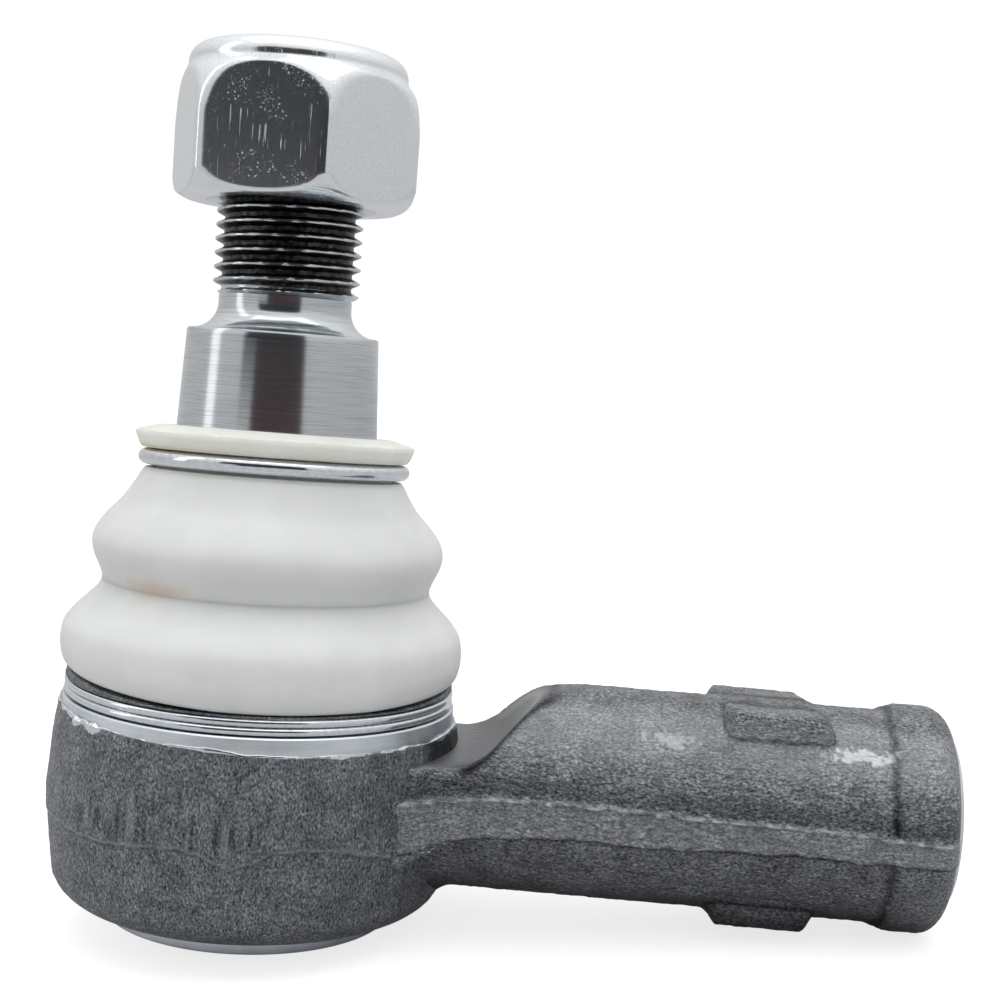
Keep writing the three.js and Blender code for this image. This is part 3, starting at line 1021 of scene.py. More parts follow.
    def radius_at(self, x: Array, angle: Array, round_bar: Array) -> Array:
        """Radius of the arm before its skin is roughened: a round bar, filleted into the head,
        with flat flash bands, the two pads and the scoop over the neck.

        Args:
            x: Distance along the shank.
            angle: Angle round the shank's axis from +Y, in radians.
            round_bar: Radius of the plain bar.

        Returns:
            Radius from the shank's axis.
        """
        side, rise = np.abs(np.cos(angle)), np.abs(np.sin(angle))
        y = round_bar * side
        wall = np.sqrt(22.1**2 - np.minimum(y, 20.0) ** 2)
        above = 0.31 * np.clip(2.2 - (x - wall), 0.0, 2.2) ** 2
        below = 0.15 * np.clip(1.5 - (x - wall), 0.0, 3.4) ** 2
        radius = round_bar + np.where(np.sin(angle) > 0, above, below)
        at = np.stack([x, round_bar * np.cos(angle), AXIS_Z + round_bar * np.sin(angle)], axis=-1)
        over, under = self.on_band(at)
        inside = smooth_step(over, -0.1, 0.12) * smooth_step(under, -0.06, 0.1)
        swell = np.interp(x, [14.0, 19.4, 24.0, 27.5], [3.2, 1.6, 0.25, 0.0])
        flat = (round_bar + self.flash_proud + swell) / np.maximum(side, 0.5)
        radius = radius + inside * np.maximum(flat - radius, 0.0)
        _, _, half_width = self.pad
        block = smooth_min(half_width / np.maximum(side, 0.05), self.pad_rise / np.maximum(rise, 0.05), 1.6)
        step = self.pad_step(x, round_bar * np.cos(angle), np.sin(angle))
        radius = radius + step * (smooth_max(radius, block, 0.5) - radius)
        return smooth_min(radius, self.scoop(x, angle), 1.6)

    def dressed(self, at: Array) -> Array:
        """Mask of the neck's scoop, which was dressed smooth.

        Args:
            at: Points.

        Returns:
            1 within about 0.2 mm of the scoop's surface, broken up by noise, and 0 elsewhere.
        """
        over = self.relief_height(np.hypot(at[..., 0], at[..., 1])) - at[..., 2]
        return smooth_step(np.abs(over) + 0.05 * lattice_noise(at, 0.8, 61), 0.3, 0.12) * (
            smooth_step(at[..., 0], 35.0, 33.0))

    def arm(self, finish: bpy.types.Material) -> bpy.types.Object:
        """The forged arm. A bar's outline goes round the shank's axis; each point's radius is then
        worked out from its place, and noise of three sizes roughens it like orange peel.

        Args:
            finish: The forging's skin.

        Returns:
            The piece.
        """
        turn = self.collar - self.end_round
        corner = self.shank_end - self.end_chamfer - self.end_round
        outside = finer(np.vstack([
            [[self.shank, 17.0], [self.shank, 67.1]],
            flowing([(self.shank + 0.03, 67.6), (self.collar - 0.35, 68.8), (self.collar - 0.02, 69.9),
                     (self.collar, 70.9)], 5),
            arc((turn, corner), self.end_round, 0, 80, 10),
        ]), 0.26)
        mouth = self.shank_end - self.end_chamfer
        hidden = np.array([
            [self.socket_sleeve + 0.4, mouth], [self.socket_sleeve - 0.3, mouth - 0.5],
            [self.socket_sleeve - 0.3, 56.0], [self.socket_sleeve - 0.3, self.shank_end - self.socket_depth],
            [0.0, self.shank_end - self.socket_depth - 5.0]])
        outline = np.vstack([[[0.0, 17.0]], outside, hidden])
        count = 360
        angle = np.arange(count) * 2 * math.pi / count
        x = outline[:, 1:] + np.zeros(count)
        bar = outline[:, :1] + np.zeros(count)
        shown = slice(1, 1 + len(outside))
        radius = bar.copy()
        radius[shown] = self.radius_at(x[shown], angle + np.zeros_like(x[shown]), bar[shown])
        grid = np.stack([x, radius * np.cos(angle), AXIS_Z + radius * np.sin(angle)], axis=-1)
        at = grid[shown]
        over, under = self.on_band(at)
        band = smooth_step(over, 0.0, 0.3) * smooth_step(under, 0.0, 0.3)
        rough = (1.0 - 0.65 * band) * (1.0 - 0.93 * self.dressed(at))
        rough *= smooth_step(outside[:, 1], 75.15, 74.4)[:, None]
        peel = 0.055 * layered_noise(at, 1.0, 2, 21) + 0.03 * lattice_noise(at, 0.5, 22)
        edge = 0.22 * np.exp(-((under - 0.08) / 0.14) ** 2) * smooth_step(over, 0.4, 1.0)
        edge -= 0.14 * np.exp(-((over + 0.08) / 0.16) ** 2)
        sideways = smooth_step(np.abs(np.cos(angle)), 0.9, 0.95)
        away_from_end = smooth_step(outside[:, 1], 74.6, 73.6)[:, None]
        rise = peel * rough + 0.10 * layered_noise(at, 8.0, 2, 23) * rough + edge * sideways * away_from_end
        out = np.stack([np.zeros(count), np.cos(angle), np.sin(angle)], axis=-1)
        grid[shown] += out * rise[..., None]
        grid[0] = grid[0].mean(axis=0)
        grid[-1] = grid[-1].mean(axis=0)
        # Masks for the dressed scoop, bright metal with painted highlights, and painted shade with dark
        # stains.
        masks = {"dressed": self.dressed, "wear_and_painted_highlight": self.wear_and_painted_highlight, "painted_shade_and_grime": self.arm_painted_shade_and_grime}
        return make_piece("housing_forged_arm", [closed_surface(grid, False)], finish, masks, 60.0)

    def wear_and_painted_highlight(self, at: Array) -> Array:
        """Mask of bright metal and painted highlight: the band's upper burr, the trimmed band, a painted
        highlight along a ridge in the scoop, two worn spots on the shank's shoulder, and a painted
        highlight along the shoulder itself.

        Args:
            at: Points.

        Returns:
            Sum of bell curves and steps over the distances from each, held between 0 and 1.
        """
        over, under = self.on_band(at)
        side = smooth_step(np.abs(at[:, 1]), 10.8, 11.3)
        broken = smooth_step(lattice_noise(at, 0.6, 72), -0.45, 0.35)
        burr = 0.65 * np.exp(-((under - 0.06) / 0.16) ** 2) * side * smooth_step(over, 0.5, 1.0) * broken
        depth, under_scoop = self.below_bar(at)
        # Painted highlight along a ridge inside the scoop.
        ridge = 0.3 * np.exp(-((depth - 1.4) / 0.6) ** 2) * smooth_step(np.abs(under_scoop), 0.9, 0.5)
        burr += ridge * smooth_step(at[:, 0], 35.0, 33.0) * smooth_step(at[:, 2], 21.0, 22.0)
        spots = np.zeros(len(at))
        for x, length, strength in self.worn_spots:
            away = np.hypot((at[:, 0] - x) / length, np.hypot(at[:, 1] + 8.1, at[:, 2] - 24.4) / 0.95)
            grainy = smooth_step(away + 0.8 * layered_noise(at, 0.45, 2, 71), 1.0, 0.6)
            spots = np.maximum(spots, strength * grainy)
        trimmed = 0.14 * side * smooth_step(over, 0.0, 0.25) * smooth_step(under, 0.0, 0.25)
        # Painted highlight: the arm's upper side made lighter, as if lit from above.
        shoulder = 0.22 * smooth_step(at[:, 2], 20.5, 24.0) * smooth_step(at[:, 2], 27.4, 26.0)
        return np.clip(burr + trimmed + spots + shoulder, 0.0, 1.0)

    def below_bar(self, at: Array) -> tuple[Array, Array]:
        """Depth under the plain bar's surface, and under the scoop's."""
        depth = self.shank - np.hypot(at[:, 1], at[:, 2] - AXIS_Z)
        return depth, self.relief_height(np.hypot(at[:, 0], at[:, 1])) - at[:, 2]

    def arm_painted_shade_and_grime(self, at: Array) -> Array:
        """Mask of painted shade and dark stains: painted shade in the nick under the band, on the skin
        just outside the scoop's brink, in the crevices at the foot of the pads and the collar, and on
        the underside; over the band, partly dark stains and partly painted shade.

        Args:
            at: Points.

        Returns:
            Sum of bell curves and steps over the distances from each, held between 0 and 1.
        """
        over, under = self.on_band(at)
        side = smooth_step(np.abs(at[:, 1]), 10.4, 10.9)
        # Painted shade in the nick under the band.
        nick = 0.7 * np.exp(-((over + 0.06) / 0.13) ** 2) * side
        depth, under_scoop = self.below_bar(at)
        # Painted shade on the skin just outside the scoop's brink.
        brink = 0.9 * np.exp(-((under_scoop - 0.65) / 0.5) ** 2)
        brink *= smooth_step(at[:, 0], 22.5, 24.5) * smooth_step(at[:, 0], 34.0, 32.0)
        # Painted shadow in the crevices at the foot of the pads and the collar.
        foot = 0.65 * np.exp(-((depth + 0.3) / 0.16) ** 2) * smooth_step(at[:, 0], 44.0, 47.0)
        foot *= smooth_step(at[:, 0], 70.6, 69.6) * smooth_step(np.maximum(-over, -under), 0.0, 0.6)
        # Painted shade on the underside; over the band, partly dark stains and partly painted shade.
        low_shade_and_grime = 0.75 * smooth_step(AXIS_Z - at[:, 2], 7.0, 11.3)
        low_shade_and_grime += 0.4 * np.exp(-((under + 1.3) / 1.3) ** 2) * smooth_step(-under, 0.1, 0.5)
        return np.clip(nick + brink + foot + low_shade_and_grime, 0.0, 1.0)

    def core(self, finish: bpy.types.Material, skin: bpy.types.Material) -> bpy.types.Object:
        """What the lathe cut: the rim rolled in under the cover, seat bore, boot recess, ring
        channel and the band above the forging. One ring outline goes round Z.

        Args:
            finish: Turned steel.
            skin: The forging's skin, left on the uppermost rim.

        Returns:
            The piece.
        """
        bore, throat, recess, top = 14.2, 11.4, 18.8, self.rim_top
        mouth = math.degrees(math.acos(throat / bore))
        outline = finer(np.vstack([
            [[12.4, 0.25], [12.65, 0.0], [15.6, 0.0], [15.95, 0.12], [16.1, 0.45], [16.1, 2.7], [15.4, 3.4]],
            [[self.inner_wall + 0.1, 5.6], [self.inner_wall + 0.1, 21.6], [21.4, 21.7], [21.5, 21.9]],
            [[21.4, 23.85], [21.25, 24.0], [20.0, 24.0], [20.0, 25.95], [20.95, 25.95], [21.1, 26.1]],
            [[21.1, top - 0.4], [20.95, top - 0.1], [20.6, top], [19.0, top], [recess, top - 0.2]],
            [[recess, 25.4]],
            [[12.9, 25.4], [throat + 0.4, 25.3]],
            arc((0.0, AXIS_Z), bore, mouth, 0, 14),
            [[bore, 3.6], [15.2, 3.6], [15.2, 1.3], [12.4, 1.3], [12.4, 0.25]],
        ]), 1.2)
        grid = turned(outline, 288)
        rough = (outline[:-1, 1] > 26.05) & (outline[:-1, 0] > 18.9)
        grid += outward(grid) * (0.07 * layered_noise(grid, 0.9, 2, 41) * rough[:, None])[..., None]
        grid[..., 2] += foot_line(grid) * smooth_step(outline[:-1, 1], 26.1, top - 0.1)[:, None]
        piece = make_piece("housing_turned_core", [closed_surface(grid, True)], finish)
        piece.data.materials.append(skin)
        faces = len(piece.data.polygons)
        centre = np.empty(faces * 3)
        piece.data.polygons.foreach_get("center", centre)
        centre = centre.reshape(-1, 3) / MM
        forged = (centre[:, 2] > 26.0) & (np.hypot(centre[:, 0], centre[:, 1]) > recess + 0.05)
        piece.data.polygons.foreach_set("material_index", forged.astype(np.int32))
        return piece

    def burr(self, finish: bpy.types.Material) -> bpy.types.Object:
        """The ragged burr that the lathe tool threw up at the band's lower edge: a thread of metal
        round the head whose thickness and height are noise, with two flakes at the front left.

        Args:
            finish: Turned steel.

        Returns:
            The piece.
        """
        angle = np.linspace(0.0, 2 * math.pi, 900, endpoint=False)
        ring = np.column_stack([np.cos(angle), np.sin(angle), np.zeros(900)]) * 21.55
        ragged = layered_noise(ring, 2.2, 3, 81)
        turn = bearing(ring)
        flakes = sum(np.exp(-((turn - place) / 2.2) ** 2) for place in (-47.0, -40.0, -37.0))
        thick = 0.15 + 0.09 * ragged + 0.18 * flakes * (1.0 + lattice_noise(ring, 0.5, 83))
        ring[:, 2] = 22.32 + self.lifted(ring) + 0.10 * layered_noise(ring, 3.0, 2, 82) - 0.25 * flakes
        ring[:, :2] *= (1.0 + 0.004 * ragged + 0.008 * flakes)[:, None]
        around = np.arange(8) * math.pi / 4
        section = np.stack([np.cos(around), 1.5 * np.sin(around)], axis=-1)
        grid = swept_wire(ring, section * np.maximum(thick, 0.03)[:, None, None])
        return make_piece("housing_band_burr", [closed_surface(grid, True)], finish)

    def screwed_socket(self, finish: bpy.types.Material) -> bpy.types.Object:
        """The shank's screwed socket: a sleeve with the chamfered end face, a right-hand thread
        inside and a drill point at the bottom.

        Args:
            finish: Turned steel.

        Returns:
            The piece.
        """
        end, depth = self.shank_end, self.socket_depth
        face = self.collar - self.end_round - self.end_chamfer
        bottom = end - depth
        thread = np.linspace(end - 1.0, bottom + 4.0, 260)
        outline = np.vstack([
            [[0.0, bottom - 4.6], [self.socket_sleeve, bottom - 0.2], [self.socket_sleeve, 56.0]],
            [[self.socket_sleeve, end - 0.9], [face + 0.42, end - 0.55], [face, end], [8.3, end]],
            np.column_stack([np.full(len(thread), self.socket_major), thread]),
            [[self.socket, bottom + 3.5], [self.socket, bottom], [0.0, bottom - 4.1]],
        ])
        grid = turned_on_shank(outline, 144, ring=False)
        rows = slice(7, 7 + len(thread))
        around = np.arctan2(grid[rows, :, 2] - AXIS_Z, grid[rows, :, 1])
        depth_in = thread_depth(grid[rows, :, 0], around, 0.2, 0.2)
        fade = smooth_step(thread, end - 0.9, end - 1.6)[:, None]
        radius = self.socket_major - (self.socket_major - self.socket) * (1.0 - depth_in) * fade
        grid[rows, :, 1] = radius * np.cos(around)
        grid[rows, :, 2] = AXIS_Z + radius * np.sin(around)
        return make_piece("housing_screwed_socket", [closed_surface(grid, False)], finish)

    def build(self, finishes: Finishes) -> list[bpy.types.Object]:
        """Builds every piece of the housing and lets it ride on the housing body.

        Args:
            finishes: All finishes of the part.

        Returns:
            The pieces.
        """
        forged = [self.head(finishes.head_skin), self.arm(finishes.arm_skin)]
        cut = [self.core(finishes.turned_band, finishes.head_skin), self.burr(finishes.wire),
               self.screwed_socket(finishes.socket)]
        for piece in forged:
            fit(piece, Body.HOUSING, Slot.FORGED, "housing")
        for piece in cut:
            fit(piece, Body.HOUSING, Slot.GROUND, "housing")
        return [*forged, *cut]


@dataclass(frozen=True)
class ClosingCover:
    """The pressed cover that closes the bottom of the housing, dished flush with its rim."""

    edge: float = 14.9
    dish: float = 9.0
    sheet: tuple[float, float] = (1.6, 3.3)

    def build(self, finishes: Finishes) -> list[bpy.types.Object]:
        """Turns the cover's outline about Z and fits the cover in place of the CAD node.

        Args:
            finishes: All finishes of the part.

        Returns:
            The pieces.
        """
        low, high = self.sheet
        outline = finer(np.vstack([
            [[0.0, 0.0]],
            flowing([(self.dish - 0.8, 0.0), (self.dish, 0.05), (9.6, 0.5), (10.2, 1.3), (10.9, low)], 4),
            [[self.edge - 0.2, low], [self.edge, low + 0.2]],
            [[self.edge, high - 0.2], [self.edge - 0.2, high]],
            flowing([(10.2, high), (9.5, high - 0.2), (8.9, 2.3), (8.2, 1.8)], 4),
            [[0.0, 1.8]],
        ]), 1.0)
        grid = turned(outline, 180, ring=False)
        piece = make_piece("closing_cover_pressing", [closed_surface(grid, False)], finishes.cover)
        fit(piece, Body.HOUSING, Slot.PRESSED, "closing_cover")
        return [piece]


# ---- ball stud ----------------------------------------------------------------------------------
@dataclass(frozen=True)
class BallStud:
    """The ball stud: ball, neck, 1:10 taper, hollow shoulder and rolled thread."""

    columns: int = 288
    ball: float = 12.4
    ball_flat: float = 5.5
    neck: float = 7.2
    taper_end: tuple[float, float] = (10.37, 63.9)
    taper_start: float = 44.0
    thread: float = 7.92
    thread_neck: float = 7.2
    thread_start: float = 68.6
    top: float = 92.0
    cut: float = 0.9

    def outline(self) -> Array:
        """The stud's outline without its thread, from the ball's flat to the top.

        Returns:
            Radius and height of each point.
        """
        end, end_z = self.taper_end
        low = -math.degrees(math.asin((AXIS_Z - self.ball_flat) / self.ball))
        meet = math.degrees(math.acos((self.neck + 2.0) / (self.ball + 2.0)))
        lift = AXIS_Z + (self.ball + 2.0) * math.sin(math.radians(meet))
        body = finer(np.vstack([
            [[0.0, self.ball_flat]],
            arc((0.0, AXIS_Z), self.ball, low, meet, 40),
            arc((self.neck + 2.0, lift), 2.0, meet + 180, 180, 6)[1:],
            flowing([(self.neck, 35.0), (7.9, 37.4), (10.4, 41.2), (11.2, 42.6)], 5),
            [[end + 0.05 * (end_z - self.taper_start), self.taper_start], [end, end_z - 0.25]],
            [[end - 0.08, end_z - 0.08], [end - 0.25, end_z]],
            arc((self.thread_neck + 2.8, end_z + 2.8), 2.8, -90, -180, 16),
            [[self.thread_neck, self.thread_start - 0.9]],
        ]), 0.7)
        height = np.concatenate([
            np.linspace(self.thread_start - 0.85, 80.0, 150), np.linspace(80.1, self.top - 0.05, 120)])
        rolled = np.column_stack([np.full(len(height), self.thread), height])
        return np.vstack([body, rolled, [[0.0, self.top]]])

    def threaded_radius(self, height: Array, angle: Array) -> Array:
        """Radius over the thread: the smallest of its run-in, its crest less the depth of cut, and
        its chamfer.

        Args:
            height: Heights along the stud.
            angle: Angles round it, in radians.

        Returns:
            The radius.
        """
        start = self.thread_neck + (height - self.thread_start + 0.9) * 1.1
        end = self.thread - np.maximum(height - (self.top - 1.1), 0.0)
        crest = np.minimum(np.minimum(self.thread, start), end)
        cut = self.thread - self.cut * thread_depth(height, angle)
        return np.minimum(crest, cut)

    def depth_mask(self, at: Array) -> Array:
        """Mask of painted shade on the thread's flanks and roots: depth under the crests over the depth
        of cut.

        Args:
            at: Points.

        Returns:
            0 on the crests and beyond the thread, to 1 in the roots.
        """
        below = (self.thread - np.hypot(at[:, 0], at[:, 1])) / self.cut
        inside = smooth_step(at[:, 2], self.thread_start - 0.2, self.thread_start + 0.5)
        return np.clip(below, 0.0, 1.0) * inside * smooth_step(at[:, 2], self.top - 0.6, self.top - 1.2)

    def build(self, finishes: Finishes) -> list[bpy.types.Object]:
        """Turns the outline about Z, cuts the thread into its rows and fits the stud.

        Args:
            finishes: All finishes of the part.

        Returns:
            The pieces.
        """
        outline = self.outline()
        grid = turned(outline, self.columns, ring=False)
        rows = np.flatnonzero(outline[:, 1] >= self.thread_start - 0.86)[:-1]
        angle = np.arange(self.columns) * 2 * math.pi / self.columns
        radius = self.threaded_radius(grid[rows, :, 2], angle)
        grid[rows, :, 0] = radius * np.cos(angle)
        grid[rows, :, 1] = radius * np.sin(angle)
        piece = make_piece("ball_stud_ground", [closed_surface(grid, False)], finishes.stud,
                           {"thread_depth": self.depth_mask})
        fit(piece, Body.STUD, Slot.GROUND, "ball_stud")
        return [piece]


# ---- boot and rings -----------------------------------------------------------------------------
@dataclass(frozen=True)
class Boot:
    """The two-fold boot, its sealing lip and the two clamp rings.

    The upper wire is (ring radius, height, wire radius) and the lower one (ring radius, foot,
    half depth, height of a turn).
    """

    columns: int = 256
    waist: float = 36.5
    outside: tuple[tuple[float, float], ...] = (
        (19.6, 26.5), (20.55, 26.52), (21.3, 26.85), (21.7, 27.7), (21.88, 29.2), (21.6, 31.4), (20.7, 32.9),
        (19.3, 34.3), (18.2, 35.5), (17.85, 36.5), (18.15, 37.6), (18.85, 39.2), (19.08, 40.7),
        (18.62, 42.1), (17.5, 43.6), (16.1, 45.1), (14.95, 46.8), (14.4, 47.8), (13.95, 48.4))
    inside: tuple[tuple[float, float], ...] = (
        (13.2, 48.4), (13.2, 47.3), (11.65, 47.3), (11.65, 45.6), (15.6, 42.6), (16.9, 40.8),
        (16.2, 38.2), (15.9, 36.5), (16.4, 35.0), (18.9, 32.1), (19.6, 30.0), (19.1, 28.5),
        (17.0, 27.2), (16.4, 26.6), (16.4, 25.7))
    tint_patch: tuple[float, float] = (-29.0, 36.6)
    neck_tilt: float = 2.2
    bend: tuple[float, float] = (26.8, 45.0)
    upper_wire: tuple[float, float, float] = (13.9, 49.55, 0.85)
    lower_wire: tuple[float, float, float, float] = (20.72, 24.1, 0.5, 0.86)

    def seated(self, grid: Array, share: Array | float = 1.0) -> Array:
        """Lets the neck sit askew on the stud: points go up by their distance to the front."""
        askew = -grid[..., 1] * math.tan(math.radians(self.neck_tilt)) * share
        return grid + askew[..., None] * np.array([0.0, 0.0, 1.0])

    def shells(self) -> tuple[Array, Array]:
        """Ring outlines of the lower and the upper fold, which share the waist's cut.

        Returns:
            Both outlines, each closed on its first point.
        """
        outer = flowing(self.outside, 8)
        outer = np.vstack([[[18.5, 25.7], [18.5, 26.2], [18.8, 26.5]], outer])
        inner = np.vstack([self.inside[:3], flowing(self.inside[3:], 5)])
        cut_out = int(np.argmin(np.hypot(outer[:, 0] - 17.85, outer[:, 1] - self.waist)))
        cut_in = int(np.argmin(np.hypot(inner[:, 0] - 15.9, inner[:, 1] - self.waist)))
        lower = np.vstack([outer[: cut_out + 1], inner[cut_in:], outer[:1]])
        upper = np.vstack([outer[cut_out:], inner[: cut_in + 1], outer[cut_out : cut_out + 1]])
        return lower, upper

    def tinted(self, at: Array) -> Array:
        """Mask of the faint brown mark at the waist, front left: a soft oval broken up by noise.

        Args:
            at: Points.

        Returns:
            0 outside, to a half in the middle.
        """
        turn, height = self.tint_patch
        away = np.hypot((bearing(at) - turn) / 17.0, (at[:, 2] - height - 0.35) / 1.25)
        return 0.5 * smooth_step(away + 0.35 * layered_noise(at, 2.5, 2, 91), 1.15, 0.1)

    def folds(self, finish: bpy.types.Material) -> list[bpy.types.Object]:
        """Both folds, turned about Z and then made slightly uneven by broad noise.

        Args:
            finish: White polyurethane.

        Returns:
            The two pieces.
        """
        pieces = []
        for name, outline in zip(("boot_lower_fold", "boot_upper_fold"), self.shells()):
            grid = turned(finer(outline, 0.6), self.columns)
            grid += outward(grid) * (0.05 * lattice_noise(grid, 9.0, 92))[..., None]
            radius = np.hypot(grid[..., 0], grid[..., 1])
            foot = smooth_step(grid[..., 2], 33.0, 28.5) * smooth_step(radius, 18.3, 20.3)
            grid[..., 2] += foot_line(grid) * foot
            grid = self.seated(grid, smooth_step(grid[..., 2], 42.0, 48.0))
            piece = make_piece(name, [closed_surface(grid, True)], finish, {"tint_patch": self.tinted}, 50.0)
            pieces.append(piece)
        lower, upper = pieces
        foot, waist, neck = ((0.0, 0.0, z * MM) for z in (self.bend[0], self.waist, self.bend[1]))
        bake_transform(lower)
        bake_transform(upper)
        for piece in pieces:
            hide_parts("dust_boot")
        return pieces

    def lip(self, finish: bpy.types.Material) -> bpy.types.Object:
        """The boot's neck and flared sealing lip. Its ring outline goes round Z, and its top edge
        is trimmed a little unevenly.

        Args:
            finish: Ivory polyurethane.

        Returns:
            The piece.
        """
        outline = finer(np.array([
            (12.9, 47.55), (12.9, 50.45), (14.0, 50.5), (14.4, 50.55), (14.7, 50.9), (15.15, 52.05),
            (15.1, 52.35), (14.7, 52.5), (13.2, 52.95), (12.4, 53.1), (11.8, 52.95), (11.5, 52.5),
            (11.5, 47.55), (12.9, 47.55)]), 0.35)
        grid = turned(outline, 360)
        brim = smooth_step(grid[..., 2], 51.6, 52.3) * smooth_step(
            np.hypot(grid[..., 0], grid[..., 1]), 13.6, 14.8)
        ragged = layered_noise(grid * np.array([1.0, 1.0, 0.2]), 1.1, 3, 101)
        grid[..., 2] += 0.09 * ragged * brim
        grid[..., :2] *= (1.0 + 0.004 * ragged * brim)[..., None]
        surface = closed_surface(self.seated(grid), True)
        return make_piece("boot_lip_moulded", [surface], finish, {"tint_patch": self.lip_painted_shade}, 40.0)

    def lip_painted_shade(self, at: Array) -> Array:
        """Mask of a faint yellow painted shade under the lip's brim, on the left."""
        return 0.5 * smooth_step(at[:, 2], 51.6, 51.0) * smooth_step(bearing(at), 0.0, -40.0)

    def upper_ring(self, finish: bpy.types.Material) -> bpy.types.Object:
        """The upper clamp ring: round wire carried once round Z.

        Args:
            finish: Bright wire.

        Returns:
            The piece.
        """
        ring, height, wire = self.upper_wire
        angle = np.arange(288) * 2 * math.pi / 288
        path = np.column_stack([ring * np.cos(angle), ring * np.sin(angle), np.full(288, height)])
        around = np.arange(24) * math.pi / 12
        section = wire * np.column_stack([np.cos(around), np.sin(around)])
        grid = self.seated(swept_wire(path, section))
        return make_piece("top_ring_wire", [closed_surface(grid, True)], finish)

    def lower_ring(self, finish: bpy.types.Material) -> bpy.types.Object:
        """The lower clamp ring: two turns of flattened wire, a helix that climbs one wire in each
        turn, with its cut ends at the back. The section is |x|^2.4 + |y|^2.4 = 1, stretched.

        Args:
            finish: Bright wire.

        Returns:
            The piece.
        """
        ring, foot, half, wire = self.lower_wire
        turns = np.linspace(0.0, 2.0, 721)
        angle = math.pi / 2 + turns * 2 * math.pi
        climb = foot + wire / 2 + wire * smooth_step(turns, 0.95, 1.05)
        path = np.column_stack([ring * np.cos(angle), ring * np.sin(angle), climb])
        around = np.arange(24) * math.pi / 12
        curve = [np.sign(f) * np.abs(f) ** (2 / 2.4) for f in (np.cos(around), np.sin(around))]
        section = np.column_stack([half * curve[0], 0.5 * wire * curve[1]])
        return make_piece("bottom_ring_wire", [closed_surface(swept_wire(path, section), False)], finish)

    def build(self, finishes: Finishes) -> list[bpy.types.Object]:
        """Builds the boot's folds, lip and rings and fits them in place of their CAD nodes.

        Args:
            finishes: All finishes of the part.

        Returns:
            The pieces.
        """
        folds = self.folds(finishes.boot)
        lip = self.lip(finishes.lip)
        top, bottom = self.upper_ring(finishes.wire), self.lower_ring(finishes.wire)
        fit(lip, Body.BOOT_NECK, Slot.LIP, "boot_sealing_lip")
        fit(top, Body.BOOT_NECK, Slot.WIRE, "top_clamp_ring")
        fit(bottom, Body.HOUSING, Slot.WIRE, "bottom_clamp_ring")
        return [*folds, lip, top, bottom]


